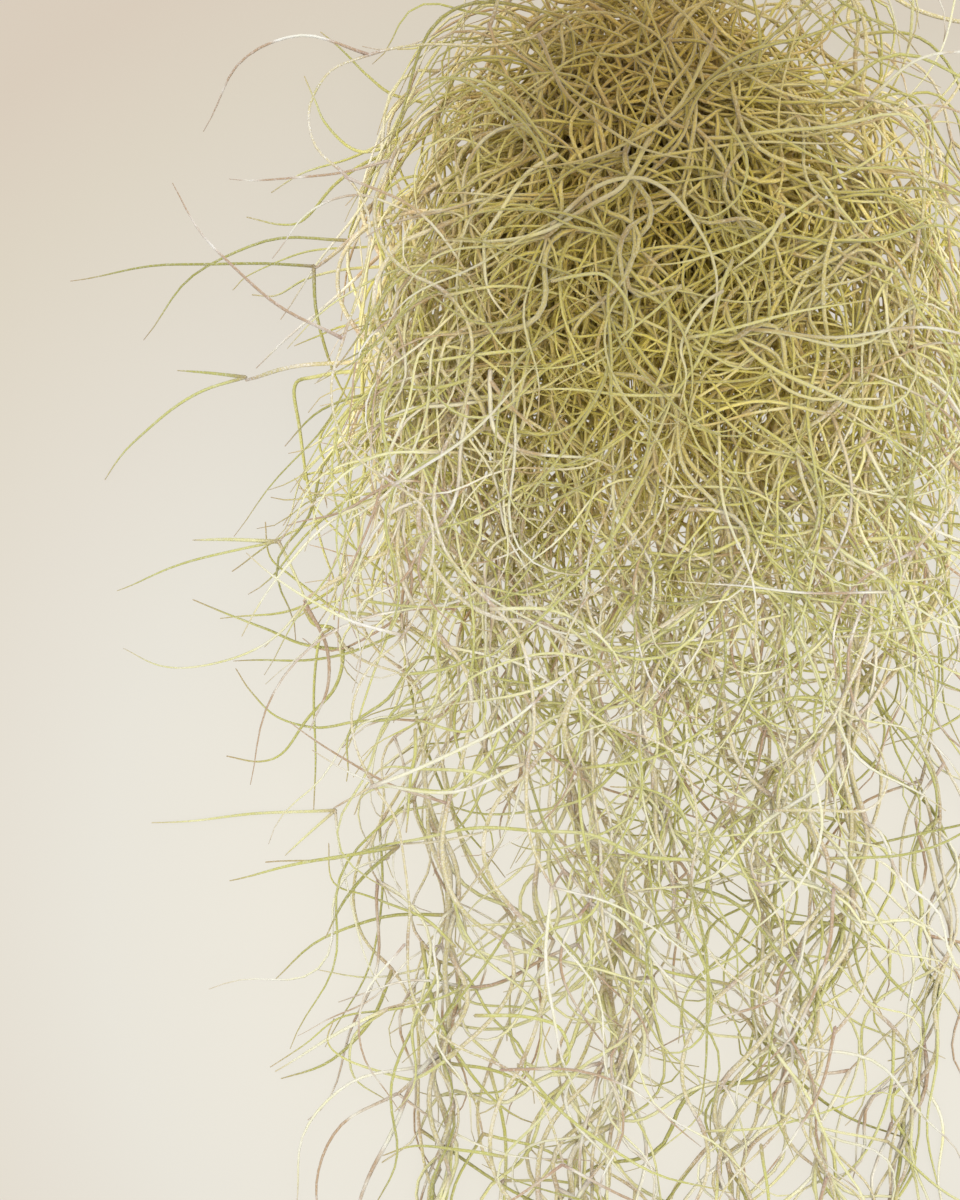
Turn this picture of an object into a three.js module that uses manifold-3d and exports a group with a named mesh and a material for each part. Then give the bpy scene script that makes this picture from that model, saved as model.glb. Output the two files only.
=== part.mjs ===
// A bunch of Spanish moss, Tillandsia usneoides, picked and laid down on a flat surface.
// Millimetres, +Z up. The gathered head of the bunch is towards +Y and the loose tail towards -Y.
//
// The moss is many wiry stems with no roots. Each stem bends in arcs from joint to joint, and a
// thread-like leaf springs from every joint. The stems are laid one upon another: each one comes
// down until it touches those under it, and passes over the rest with a small clearance.
import * as THREE from "three";
import { mergeVertices } from "three/addons/utils/BufferGeometryUtils.js";
import Module from "manifold-3d";

// Threads are three-sided, with a flat side down and a ridge on top. A radius is to a corner.
const STEM_RADIUS = 0.8;
const LEAF_RADIUS = 0.68;
const TIP_RADIUS = 0.4;
const CLEARANCE = 0.3; // between a stem and what it lies on

// Growth of a stem: it curls from joint to joint and turns towards a place down the bunch.
const LINK = 8.5; // straight stretch that a bent stem is made of
const LINKS_PER_JOINT = 4;
const STEPS_PER_LINK = 6;
const MOST_LINKS = 50;
const HUGGING_LINKS = 9;
const PULL = 0.03; // turn towards its aim, per millimetre and radian off course
const HUGGING_PULL = 0.016; // the same for stems that wind about the core
const AIM_AHEAD = 32; // how far down the bunch a stem aims
const CURL = [0.02, 0.06]; // least and most turn per millimetre
const KINK = 0.4; // largest turn at a joint, radians

// Growth of a leaf.
const LEAF_LENGTH = [30, 52];
const LEAF_LINKS = 3;
const LEAF_SPREAD = [0.45, 1.5]; // angle between a leaf and its stem
const LEAF_CURL = [0.01, 0.045]; // least and most turn per millimetre
const LEAF_DROOP = 0.01; // turn towards the tail, per millimetre and radian
const RIM_DROOP = 0.045; // the same beyond the rim of the head
const RIM_Y = 128;
const LEAF_LIFT = [0.1, 0.35]; // least slope at a leaf's root, and what a high level adds
const LEAF_SAG = [0.15, 0.65]; // least and most fall of a leaf over its length

// Shape of the whole bunch: a domed head, its widest place, and a tail that narrows.
const HEAD_TIP_Y = 138;
const WIDEST_Y = 50;
const TAIL_END_Y = -210;
const HALF_WIDTH = 67;
const TAIL_NARROWING = 0.62; // share of the width that is gone at the tail's end
const HIGHEST_Y = 60;
const HEIGHT = 50;
const TAIL_HEIGHT = 6;
const LEAST_HEIGHT = 2.5;
const EDGE_POWER = 2.5;
const ROPES_X = [-46, -35, -22, -10, 5, 16, 27, 38, 49, 59]; // where the stems gather in the tail
const ROPE_SPREAD = 4;

// Core: the packed middle of the head, which the stems of the head stand out of.
const CORE_Y = 86;
const CORE_HALF_WIDTH = 28;
const CORE_HALF_LENGTH = 32;
const CORE_HEIGHT = 27;
const CORE_BELLY = 0.46; // height of its widest place, as a share of its height
const CORE_GAP = 4; // between the core and the stems in front of it
const ABOVE_CORE = 1.2; // from the core up to the middle of a stem that lies on it
const CORE_RIDGES = 9;
const CORE_RIDGE_DEPTH = 0.045;
const CORE_SIDES = 22;
const CORE_BANDS = 10;

// Numbers of stems of each kind.
const INNER_STEMS = 8;
const HUGGING_STEMS = 6; // of the head's, those that lie close on the core
const HEAD_STEMS = 12;
const OUTER_STEMS = 11;

// Steepest climb of a thread, as height over run, and the passes that round off its bends.
const STEEPEST = 0.75;
const ROUNDING_PASSES = 3;

// Ground plan grid that holds the height reached so far.
const CELL = 0.5;
const GRID_HALF_WIDTH = 180;
const GRID_HALF_LENGTH = 280;
const COLUMNS = (2 * GRID_HALF_WIDTH) / CELL;
const ROWS = (2 * GRID_HALF_LENGTH) / CELL;
const reached = new Float64Array(COLUMNS * ROWS);

// Sprigs that stick out at the left edge, as in the photo. Angles in degrees, anticlockwise from
// +X; each stem or leaf is an arc: heading, length, turn. Leaves spring from the stem's end.
const SPRIGS = [
  { start: [-46, 50], stem: [187, 38, 0], leaves: [[174, 14, 0], [192, 37, 44]] },
  { start: [-50, 28], stem: [192, 32, 36], leaves: [[178, 18, 0], [190, 35, 12], [300, 16, -10]] },
  { start: [-50, 12], stem: [202, 25, 16], leaves: [[238, 43, -85], [312, 28, -75]] },
  { start: [-46, -30], stem: [214, 24, 0], leaves: [[182, 38, 4], [222, 14, 0], [275, 41, 20]] },
  { start: [-32, -46], stem: [191, 21, 0], leaves: [[189, 35, 4], [215, 24, 30]] },
  { start: [-38, -78], stem: [199, 18, 0], leaves: [[203, 27, 14], [190, 27, 150]] },
];
const SPRIG_LEVEL = 0.2;

const wasm = await Module();
wasm.setup();

// Random draws of the minimal standard generator: the same for the same seed.
function draws(seed) {
  let state = (seed * seed * 7919 + seed * 104729) % 2147483647;
  return () => {
    state = (state * 48271) % 2147483647;
    return state / 2147483647;
  };
}

const between = (draw, [low, high]) => low + (high - low) * draw();
const either = (draw) => (draw() < 0.5 ? -1 : 1);
const wrapped = (angle) => angle - 2 * Math.PI * Math.round(angle / (2 * Math.PI));
const radians = (degrees) => (degrees * Math.PI) / 180;
const apart = (a, b) => Math.hypot(a.x - b.x, a.y - b.y);

// Outline and height of the bunch.

function halfWidthAt(y) {
  if (y > WIDEST_Y) {
    const t = Math.min(1, (y - WIDEST_Y) / (HEAD_TIP_Y - WIDEST_Y));
    return HALF_WIDTH * Math.sqrt(1 - t * t);
  }
  const t = Math.min(1, (WIDEST_Y - y) / (WIDEST_Y - TAIL_END_Y));
  return HALF_WIDTH * (1 - TAIL_NARROWING * t * t);
}

function middleHeightAt(y) {
  if (y > HIGHEST_Y) {
    const t = Math.min(1, (y - HIGHEST_Y) / (HEAD_TIP_Y - HIGHEST_Y));
    return HEIGHT * Math.sqrt(1 - t * t);
  }
  const t = Math.min(1, (HIGHEST_Y - y) / (HIGHEST_Y - TAIL_END_Y));
  return TAIL_HEIGHT + (HEIGHT - TAIL_HEIGHT) * (1 - t) ** 1.5;
}

function heightAt(x, y) {
  const out = Math.min(1, Math.abs(x) / Math.max(1, halfWidthAt(y)));
  return Math.max(LEAST_HEIGHT, middleHeightAt(y) * Math.sqrt(1 - out ** EDGE_POWER));
}

// How far out of the middle of the core a place is, as a share of its half size there.
const coreShare = (x, y, gap) =>
  Math.hypot(x / (CORE_HALF_WIDTH + gap), (y - CORE_Y) / (CORE_HALF_LENGTH + gap));

// Lowest place of a thread's middle over the core, or 0 outside it.
function lowestOverCore(x, y) {
  const share = coreShare(x, y, 0);
  if (share >= 1) return 0;
  return ABOVE_CORE + CORE_HEIGHT * (CORE_BELLY + (1 - CORE_BELLY) * Math.sqrt(1 - share * share));
}

// Where a stem that aims at aimX stops: the middle ropes of the tail are the longest.
const tailEndAt = (aimX, spare) => TAIL_END_Y + 1.1 * Math.abs(aimX) + spare;

// Growth in plan.

function growStem(draw, { start, heading, aimX, endY, pull = PULL, mostLinks = MOST_LINKS }) {
  let [x, y] = start;
  let side = either(draw);
  let curl = 0;
  const places = [{ x, y, heading }];
  while (y > endY && places.length <= mostLinks) {
    if ((places.length - 1) % LINKS_PER_JOINT === 0) {
      side = -side;
      curl = side * between(draw, CURL);
      heading += (2 * draw() - 1) * KINK;
    }
    for (let step = 0; step < STEPS_PER_LINK; step++) {
      const course = Math.atan2(-AIM_AHEAD, aimX * (halfWidthAt(Math.min(y, WIDEST_Y)) / HALF_WIDTH) - x);
      heading += (curl + pull * wrapped(course - heading)) * (LINK / STEPS_PER_LINK);
      x += (Math.cos(heading) * LINK) / STEPS_PER_LINK;
      y += (Math.sin(heading) * LINK) / STEPS_PER_LINK;
    }
    places.push({ x, y, heading });
  }
  return places;
}

// An arc of the given turn per millimetre, from a place and in a heading.
function growArc({ x, y }, heading, length, links, turnAt) {
  const places = [{ x, y, heading }];
  const step = length / links / STEPS_PER_LINK;
  for (let link = 0; link < links; link++) {
    for (let k = 0; k < STEPS_PER_LINK; k++) {
      heading += turnAt(heading, y) * step;
      x += Math.cos(heading) * step;
      y += Math.sin(heading) * step;
    }
    places.push({ x, y, heading });
  }
  return places;
}

function growLeaf(draw, stem, joint, side) {
  const length = between(draw, LEAF_LENGTH);
  const curl = either(draw) * between(draw, LEAF_CURL);
  const heading = stem[joint].heading + side * between(draw, LEAF_SPREAD);
  const turnAt = (now, y) => {
    const droop = y > RIM_Y ? RIM_DROOP : LEAF_DROOP;
    return curl + droop * wrapped(-Math.PI / 2 - now);
  };
  const places = growArc(stem[joint], heading, length, LEAF_LINKS, turnAt);
  return { joint, places, length, rise: draw(), sag: draw() };
}

function growShoot(seed, plan) {
  const draw = draws(seed);
  const stem = growStem(draw, plan);
  const leaves = [];
  let side = either(draw);
  for (let joint = LINKS_PER_JOINT; joint < stem.length - 1; joint += LINKS_PER_JOINT) {
    side = -side;
    leaves.push(growLeaf(draw, stem, joint, side));
  }
  leaves.push(growLeaf(draw, stem, stem.length - 1, side));
  leaves.push(growLeaf(draw, stem, stem.length - 1, -side));
  return { stem, leaves, level: plan.level };
}

function growSprig(seed, { start, stem, leaves }) {
  const draw = draws(seed);
  const arc = (from, [heading, length, turn], links) =>
    growArc(from, radians(heading), length, links, () => radians(turn) / length);
  const linksFor = (length) => Math.max(2, Math.round(length / LINK));
  const [x, y] = start;
  const places = arc({ x, y }, stem, linksFor(stem[1]));
  const joint = places.length - 1;
  return {
    stem: places,
    leaves: leaves.map((leaf) => ({
      joint,
      places: arc(places[joint], leaf, linksFor(leaf[1])),
      length: leaf[1],
      rise: draw(),
      sag: draw(),
    })),
    level: SPRIG_LEVEL,
  };
}

// Laying down.

// Calls visit with each grid cell within reach of a place.
function nearCells(x, y, reach, visit) {
  const left = Math.floor((x - reach + GRID_HALF_WIDTH) / CELL);
  const right = Math.floor((x + reach + GRID_HALF_WIDTH) / CELL);
  const low = Math.floor((y - reach + GRID_HALF_LENGTH) / CELL);
  const high = Math.floor((y + reach + GRID_HALF_LENGTH) / CELL);
  for (let row = low; row <= high; row++)
    for (let column = left; column <= right; column++) visit(row * COLUMNS + column);
}

// Calls visit(x, y, z, radius) at close places along the link between two places of a thread.
function alongLink(from, to, visit) {
  const count = Math.ceil(apart(from, to) / CELL);
  for (let i = 0; i <= count; i++) {
    const t = i / count;
    visit(
      from.x + (to.x - from.x) * t,
      from.y + (to.y - from.y) * t,
      from.z + (to.z - from.z) * t,
      from.radius + (to.radius - from.radius) * t,
    );
  }
}

const alongThread = (places, visit) =>
  places.slice(1).forEach((to, i) => alongLink(places[i], to, visit));

const reachOf = (radius) => radius + 0.1;

// The lowest that a thread's middle may lie over a place.
function lowest(x, y, radius) {
  let floor = 0;
  nearCells(x, y, reachOf(radius), (cell) => {
    if (reached[cell] > 0) floor = Math.max(floor, reached[cell] + CLEARANCE);
  });
  return floor + radius / 2;
}

function neededOver(from, to) {
  let need = 0;
  alongLink(from, to, (x, y, z, radius) => {
    need = Math.max(need, lowest(x, y, radius));
  });
  return need;
}

// Raises a thread, from its first free place on, so that every link passes over what lies there.
function liftOver(places, firstFree) {
  const raise = (i, z) => {
    places[i].z = Math.max(places[i].z, z);
  };
  for (let i = 0; i + 1 < places.length; i++) {
    const need = neededOver(places[i], places[i + 1]);
    if (i >= firstFree) raise(i, need);
    raise(i + 1, need);
  }
  for (let i = places.length - 2; i >= firstFree; i--)
    raise(i, places[i + 1].z - STEEPEST * apart(places[i], places[i + 1]));
  for (let i = 1; i < places.length; i++)
    raise(i, places[i - 1].z - STEEPEST * apart(places[i], places[i - 1]));
  for (let pass = 0; pass < ROUNDING_PASSES; pass++)
    for (let i = 1; i + 1 < places.length; i++) raise(i, (places[i - 1].z + places[i + 1].z) / 2);
}

// How far a thread could still sink before it meets what lies under it.
function slackOf(places) {
  let slack = Infinity;
  alongThread(places, (x, y, z, radius) => {
    slack = Math.min(slack, z - lowest(x, y, radius));
  });
  return slack;
}

function keepHeights(places) {
  alongThread(places, (x, y, z, radius) =>
    nearCells(x, y, reachOf(radius), (cell) => {
      reached[cell] = Math.max(reached[cell], z + radius);
    }),
  );
}

// Lays a shoot over all that is there and returns its threads. A rooted one keeps its root's
// height and climbs from there; a loose one comes down until it touches.
function layShoot({ stem, leaves, level }, rootZ) {
  const rooted = rootZ !== undefined;
  let run = 0;
  stem.forEach((place, i) => {
    if (i > 0) run += apart(place, stem[i - 1]);
    place.radius = STEM_RADIUS;
    place.z = Math.max(level * heightAt(place.x, place.y), place.radius / 2);
    if (rooted) {
      place.z = Math.min(place.z, rootZ + STEEPEST * run);
      if (i > 0) place.z = Math.max(place.z, lowestOverCore(place.x, place.y));
    }
  });
  for (const leaf of leaves) {
    leaf.places.forEach((place, i) => {
      const t = i / (leaf.places.length - 1);
      place.radius = LEAF_RADIUS + (TIP_RADIUS - LEAF_RADIUS) * t;
      place.z = 0;
    });
    const joint = stem[leaf.joint];
    joint.z = Math.max(joint.z, neededOver(leaf.places[0], leaf.places[1]));
  }
  liftOver(stem, rooted ? 1 : 0);
  for (const leaf of leaves) {
    const lift = LEAF_LIFT[0] + LEAF_LIFT[1] * level * leaf.rise;
    const sag = LEAF_SAG[0] + (LEAF_SAG[1] - LEAF_SAG[0]) * leaf.sag;
    leaf.places.forEach((place, i) => {
      const t = i / (leaf.places.length - 1);
      const z = stem[leaf.joint].z + leaf.length * (lift * t - sag * t * t);
      place.z = Math.max(z, place.radius / 2, rooted ? lowestOverCore(place.x, place.y) : 0);
    });
    liftOver(leaf.places, 1);
  }
  const threads = [stem, ...leaves.map((leaf) => leaf.places)];
  if (!rooted) {
    const slack = Math.min(...threads.map(slackOf));
    threads.forEach((places) => places.slice(1).forEach((place) => (place.z -= slack)));
    stem[0].z -= slack;
    leaves.forEach((leaf) => (leaf.places[0].z = stem[leaf.joint].z));
  }
  return threads;
}

// Solids.

// A thin three-sided thread: a cylinder bent along its places.
function threadGeometry(places) {
  const links = places.length - 1;
  const geometry = new THREE.CylinderGeometry(1, 1, 1, 3, links);
  geometry.deleteAttribute("normal");
  geometry.deleteAttribute("uv");
  const corners = geometry.getAttribute("position");
  for (let i = 0; i < corners.count; i++) {
    const ring = Math.round((corners.getY(i) + 0.5) * links);
    const at = places[ring];
    const before = places[Math.max(0, ring - 1)];
    const after = places[Math.min(links, ring + 1)];
    const across = (at.radius * corners.getX(i)) / apart(after, before);
    const x = at.x + (after.y - before.y) * across;
    const y = at.y - (after.x - before.x) * across;
    corners.setXYZ(i, x, y, at.z + at.radius * corners.getZ(i));
  }
  return geometry;
}

// The core: a ball pressed to an oval, flat where it would reach below the surface.
function coreGeometry() {
  const geometry = new THREE.SphereGeometry(1, CORE_SIDES, CORE_BANDS);
  geometry.deleteAttribute("normal");
  geometry.deleteAttribute("uv");
  const corners = geometry.getAttribute("position");
  for (let i = 0; i < corners.count; i++) {
    const [x, y, up] = [corners.getX(i), -corners.getZ(i), corners.getY(i)];
    const ridge = 1 + CORE_RIDGE_DEPTH * Math.sin(CORE_RIDGES * Math.atan2(y, x) + 3 * up);
    const z = Math.max(0, CORE_HEIGHT * (CORE_BELLY + (1 - CORE_BELLY) * up));
    corners.setXYZ(i, CORE_HALF_WIDTH * ridge * x, CORE_Y + CORE_HALF_LENGTH * ridge * y, z);
  }
  return geometry;
}

function solidFrom(geometry) {
  const merged = mergeVertices(geometry, 1e-4);
  return new wasm.Manifold(
    new wasm.Mesh({
      numProp: 3,
      vertProperties: new Float32Array(merged.getAttribute("position").array),
      triVerts: new Uint32Array(merged.index.array),
    }),
  );
}

function geometryFrom(solid) {
  const mesh = solid.getMesh();
  const positions = new Float32Array(mesh.numVert * 3);
  for (let i = 0; i < mesh.numVert; i++)
    positions.set(mesh.vertProperties.subarray(i * mesh.numProp, i * mesh.numProp + 3), i * 3);
  return new THREE.BufferGeometry()
    .setAttribute("position", new THREE.BufferAttribute(positions, 3))
    .setIndex(new THREE.BufferAttribute(new Uint32Array(mesh.triVerts), 1));
}

const joined = (solids) => solids.reduce((all, one) => all.add(one));

// The bunch.

const MOSS = new THREE.MeshStandardMaterial({ color: 0xa9ad6c, roughness: 0.85, metalness: 0 });
const HEAD_MOSS = new THREE.MeshStandardMaterial({ color: 0x8f8c50, roughness: 0.9, metalness: 0 });

const bunch = new THREE.Group();

function addNode(name, solid, material) {
  const mesh = new THREE.Mesh(geometryFrom(solid), material);
  mesh.name = name;
  bunch.add(mesh);
}

const numbered = (name, i) => `${name}_${String(i + 1).padStart(2, "0")}`;

function addShoot(name, shoot) {
  const threads = layShoot(shoot);
  threads.forEach(keepHeights);
  addNode(name, joined(threads.map((places) => solidFrom(threadGeometry(places)))), MOSS);
}

// A rope's place in the tail, with a little spread.
const ropeFor = (i, draw) => ROPES_X[i % ROPES_X.length] + (2 * draw() - 1) * ROPE_SPREAD;

// Inner stems come out low in front of the core and carry the under side of the tail.
function addInnerStems() {
  const beside = ({ x, y }) => coreShare(x, y, CORE_GAP) > 1;
  for (let i = 0; i < INNER_STEMS; i++) {
    const seed = 201 + i;
    const draw = draws(seed);
    const aimX = ropeFor(i * 3 + 1, draw);
    const plan = {
      start: [aimX * 0.9, 18 + 28 * draw()],
      heading: -Math.PI / 2 + (draw() - 0.5),
      aimX,
      endY: tailEndAt(aimX, 80 * draw()),
      level: 0.5 * (i / INNER_STEMS),
    };
    const shoot = growShoot(seed + 1000, plan);
    shoot.leaves = shoot.leaves.filter((leaf) => leaf.places.every(beside));
    addShoot(numbered("inner_stem", i), shoot);
  }
}

// The head: stems that rise out of the core, turn over at the crown and run down.
function addHead() {
  const solids = [solidFrom(coreGeometry())];
  for (let i = 0; i < HEAD_STEMS; i++) {
    const seed = 321 + i;
    const draw = draws(seed);
    const aimX = ropeFor(i * 7, draw);
    const start = [(2 * draw() - 1) * 15, CORE_Y + 22 - 24 * draw()];
    const plan =
      i < HUGGING_STEMS
        ? { heading: 2 * Math.PI * draw(), endY: 20, level: 0.3, pull: HUGGING_PULL, mostLinks: HUGGING_LINKS }
        : {
            heading: Math.PI / 2 - (aimX / HALF_WIDTH) * (0.4 + draw()),
            endY: 20 - 70 * draw(),
            level: 0.6 + 0.35 * draw(),
          };
    const threads = layShoot(growShoot(seed + 1000, { start, aimX, ...plan }), 0.7 * CORE_HEIGHT);
    threads.forEach(keepHeights);
    solids.push(...threads.map((places) => solidFrom(threadGeometry(places))));
  }
  addNode("head", joined(solids), HEAD_MOSS);
}

// Sprigs rest on the inner stems and the head, and the outer stems lie over their roots.
function addSprigs() {
  SPRIGS.forEach((sprig, i) => addShoot(numbered("side_sprig", i), growSprig(101 + i, sprig)));
}

// Outer stems start near the crown, lie over the head and run down into the tail.
function addOuterStems() {
  for (let i = 0; i < OUTER_STEMS; i++) {
    const seed = 401 + i;
    const draw = draws(seed);
    const aimX = ropeFor(i * 3, draw);
    const plan = {
      start: [-0.35 * aimX + (2 * draw() - 1) * 12, 98 + 26 * draw()],
      heading: Math.PI / 2 - (aimX / HALF_WIDTH) * 1.3 + (draw() - 0.5),
      aimX,
      endY: i % 2 === 0 ? tailEndAt(aimX, 60 * draw()) : -60 + 80 * draw(),
      level: 0.85 + 0.15 * draw(),
    };
    addShoot(numbered("outer_stem", i), growShoot(seed + 1000, plan));
  }
}

addInnerStems();
addHead();
addSprigs();
addOuterStems();

// The origin is under the middle of the whole bunch, on the surface it lies on.
const box = new THREE.Box3().setFromObject(bunch);
const middle = box.getCenter(new THREE.Vector3());
for (const mesh of bunch.children) mesh.geometry.translate(-middle.x, -middle.y, -box.min.z);

export default bunch;
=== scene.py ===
"""The looks of a bunch of Spanish moss, laid down: fine round threads in place of the coarse ones.

The same rules and draws as in the part's source give the same stems and leaves here. Each of those
gets a finer piece of the same form, and many more stems fill the bunch between them.
Lengths are in millimetres, in the source's own place, until a mesh is made.
"""
import math
from typing import NamedTuple

import bpy
import numpy as np
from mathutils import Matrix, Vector


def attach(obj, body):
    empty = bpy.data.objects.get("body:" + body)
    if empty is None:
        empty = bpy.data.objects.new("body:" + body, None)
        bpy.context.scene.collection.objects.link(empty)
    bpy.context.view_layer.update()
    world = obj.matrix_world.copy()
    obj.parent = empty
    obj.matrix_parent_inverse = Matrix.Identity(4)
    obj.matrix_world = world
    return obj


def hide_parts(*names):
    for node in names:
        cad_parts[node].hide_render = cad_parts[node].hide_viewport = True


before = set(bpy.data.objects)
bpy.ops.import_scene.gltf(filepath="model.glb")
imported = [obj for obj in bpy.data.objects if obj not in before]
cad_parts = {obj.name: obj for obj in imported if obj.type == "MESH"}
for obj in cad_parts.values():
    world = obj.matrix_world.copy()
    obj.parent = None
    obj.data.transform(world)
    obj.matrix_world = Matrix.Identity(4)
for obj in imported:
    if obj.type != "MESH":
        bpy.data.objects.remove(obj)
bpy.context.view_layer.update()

MM = 0.001

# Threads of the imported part.
STEM_RADIUS = 0.8
LEAF_RADIUS = 0.68
TIP_RADIUS = 0.4
CLEARANCE = 0.3

# Growth of a stem.
LINK = 8.5
LINKS_PER_JOINT = 4
STEPS_PER_LINK = 6
MOST_LINKS = 50
HUGGING_LINKS = 9
PULL = 0.03  # turn towards the course, per millimetre and radian
HUGGING_PULL = 0.016
AIM_AHEAD = 32
CURL = (0.02, 0.06)
KINK = 0.4  # most turn at a joint, in radians

# Growth of a leaf.
LEAF_LENGTH = (30, 52)
LEAF_LINKS = 3
LEAF_SPREAD = (0.45, 1.5)
LEAF_CURL = (0.01, 0.045)
LEAF_DROOP = 0.01
RIM_DROOP = 0.045
RIM_Y = 128
LEAF_LIFT = (0.1, 0.35)
LEAF_SAG = (0.15, 0.65)

# Shape of the whole bunch.
HEAD_TIP_Y = 138
WIDEST_Y = 50
TAIL_END_Y = -210
TAIL_END_RISE = 1.1  # of a rope's end for each millimetre that it lies off the middle
HALF_WIDTH = 67
TAIL_NARROWING = 0.62
HIGHEST_Y = 60
HEIGHT = 50
TAIL_HEIGHT = 6
TAIL_FALL_POWER = 1.5
LEAST_HEIGHT = 2.5
EDGE_POWER = 2.5
ROPES_X = (-46, -35, -22, -10, 5, 16, 27, 38, 49, 59)
ROPE_SPREAD = 4

# Core of the head.
CORE_Y = 86
CORE_HALF_WIDTH = 28
CORE_HALF_LENGTH = 32
CORE_HEIGHT = 27
CORE_BELLY = 0.46
CORE_GAP = 4
ABOVE_CORE = 1.2
ROOT_SHARE = 0.7  # of the core's height, at which the head's stems are rooted

INNER_STEMS = 8
HUGGING_STEMS = 6  # of the head's, which turn about the core
HEAD_STEMS = 12
OUTER_STEMS = 11

STEEPEST = 0.75
ROUNDING_PASSES = 3

CELL = 0.5
GRID_HALF_WIDTH = 180
GRID_HALF_LENGTH = 280
COLUMNS = int(2 * GRID_HALF_WIDTH / CELL)
ROWS = int(2 * GRID_HALF_LENGTH / CELL)
CELLS_ACROSS = 5  # most cells that a thread's reach covers
CELL_MARGIN = 0.1

# Where each sprig starts, and the heading, length and turn of its stem and of each leaf.
SPRIGS = (
    ((-46, 50), (187, 38, 0), ((174, 14, 0), (192, 37, 44))),
    ((-50, 28), (192, 32, 36), ((178, 18, 0), (190, 35, 12), (300, 16, -10))),
    ((-50, 12), (202, 25, 16), ((238, 43, -85), (312, 28, -75))),
    ((-46, -30), (214, 24, 0), ((182, 38, 4), (222, 14, 0), (275, 41, 20))),
    ((-32, -46), (191, 21, 0), ((189, 35, 4), (215, 24, 30))),
    ((-38, -78), (199, 18, 0), ((203, 27, 14), (190, 27, 150))),
)
SPRIG_LEVEL = 0.2

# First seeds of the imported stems' draws.
SPRIG_SEED = 101
INNER_SEED = 201
HEAD_SEED = 321
OUTER_SEED = 401
GROWN_SEED = 1000  # what is added to a stem's seed for its own growth

# Fine threads. Taper is the share of the radius that is lost at the tip, and then its power.
FINE_STEM_RADIUS = 0.43
FINE_STEM_DRAW = (0.5, 1.1)
FINE_LEAF_RADIUS = 0.38
FINE_LEAF_DRAW = (0.66, 1)
FINE_LEAF_TAPER = (0.72, 2.8)
FINE_LEAF_WAVE = (0.35, 30)
SINGLE_DRAW = (0.9, 1.1)
SINGLE_TAPER = (0.65, 2)
SINGLE_WAVE = (0.2, 25)
# The head's gold is its tan and its golden painted light and shade.
SINGLE_GOLDEN = 0.75  # share of the head's gold that a single thread takes
STEM_WAVE = 0.7
# Share of the radius at a stem's root and at its tip, and the length over which a whole one is added.
STEM_ROOT = (0.45, 10)
STEM_TIP = (0.55, 15)
STEM_SWELL = 0.1  # radius that is added where a stem is sheathed, at its joints
LEAF_SWELL = 0.08  # and at a leaf's root
LEAF_SHEATH = 0.7  # how brown a leaf's root is, beside a joint
SINGLE_SHEATH = 0.6
SHEATH_LENGTH = 4
LEAF_SHEATH_LENGTH = 5
TONE_SPREAD = 0.5  # of the leaves of one stem
FINE_STEPS = 4  # rings to a link of a packed stem
FINE_LEAF_STEPS = 5  # and to a link of a packed leaf
SIDES = 6
ADDED_SIDES = 4
FINE_SEED = 601
MOST_SHOOTS = 20  # of a node, which keeps the seeds of the nodes apart
ADDED_FINE_SEED = 3001


# Random draws and other numbers.

MODULUS = 2147483647
MULTIPLIER = 48271
SEED_PRIMES = (7919, 104729)  # which keep the draws of near seeds apart


def draws(seed):
    """Random draws of the minimal standard generator, the same as in the source."""
    state = (seed * seed * SEED_PRIMES[0] + seed * SEED_PRIMES[1]) % MODULUS

    def draw():
        nonlocal state
        state = (state * MULTIPLIER) % MODULUS
        return state / MODULUS

    return draw


def between(draw, limits):
    return limits[0] + (limits[1] - limits[0]) * draw()


def either(draw):
    return -1 if draw() < 0.5 else 1


def either_way(draw, most):
    return (2 * draw() - 1) * most


def wrapped(angle):
    return angle - math.tau * math.floor(angle / math.tau + 0.5)


def half_width_at(y):
    if y > WIDEST_Y:
        t = min(1, (y - WIDEST_Y) / (HEAD_TIP_Y - WIDEST_Y))
        return HALF_WIDTH * math.sqrt(1 - t * t)
    t = min(1, (WIDEST_Y - y) / (WIDEST_Y - TAIL_END_Y))
    return HALF_WIDTH * (1 - TAIL_NARROWING * t * t)


def middle_height_at(y):
    if y > HIGHEST_Y:
        t = min(1, (y - HIGHEST_Y) / (HEAD_TIP_Y - HIGHEST_Y))
        return HEIGHT * math.sqrt(1 - t * t)
    t = min(1, (HIGHEST_Y - y) / (HIGHEST_Y - TAIL_END_Y))
    return TAIL_HEIGHT + (HEIGHT - TAIL_HEIGHT) * (1 - t) ** TAIL_FALL_POWER


def height_at(x, y):
    out = min(1, abs(x) / max(1, half_width_at(y)))
    return max(LEAST_HEIGHT, middle_height_at(y) * math.sqrt(1 - out**EDGE_POWER))


def core_share(x, y, gap):
    return math.hypot(x / (CORE_HALF_WIDTH + gap), (y - CORE_Y) / (CORE_HALF_LENGTH + gap))


def lowest_over_core(x, y):
    share = core_share(x, y, 0)
    if share >= 1:
        return 0
    return ABOVE_CORE + CORE_HEIGHT * (CORE_BELLY + (1 - CORE_BELLY) * math.sqrt(1 - share * share))


def tail_end_at(aim_x, spare):
    return TAIL_END_Y + TAIL_END_RISE * abs(aim_x) + spare


def rope_for(i, draw):
    return ROPES_X[i % len(ROPES_X)] + either_way(draw, ROPE_SPREAD)


# Growth in plan. A path is a list of (x, y, heading).


def course_from(x, y, aim_x):
    """The heading towards a rope of the tail, which lies further in where the bunch is narrower."""
    narrowed = aim_x * (half_width_at(min(y, WIDEST_Y)) / HALF_WIDTH)
    return math.atan2(-AIM_AHEAD, narrowed - x)


def next_link(place, length, turn_at):
    """The place and heading a link further on, with the turn to the millimetre from turn_at."""
    x, y, heading = place
    step = length / STEPS_PER_LINK
    for _ in range(STEPS_PER_LINK):
        heading += turn_at(x, y, heading) * step
        x += math.cos(heading) * step
        y += math.sin(heading) * step
    return x, y, heading


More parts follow.
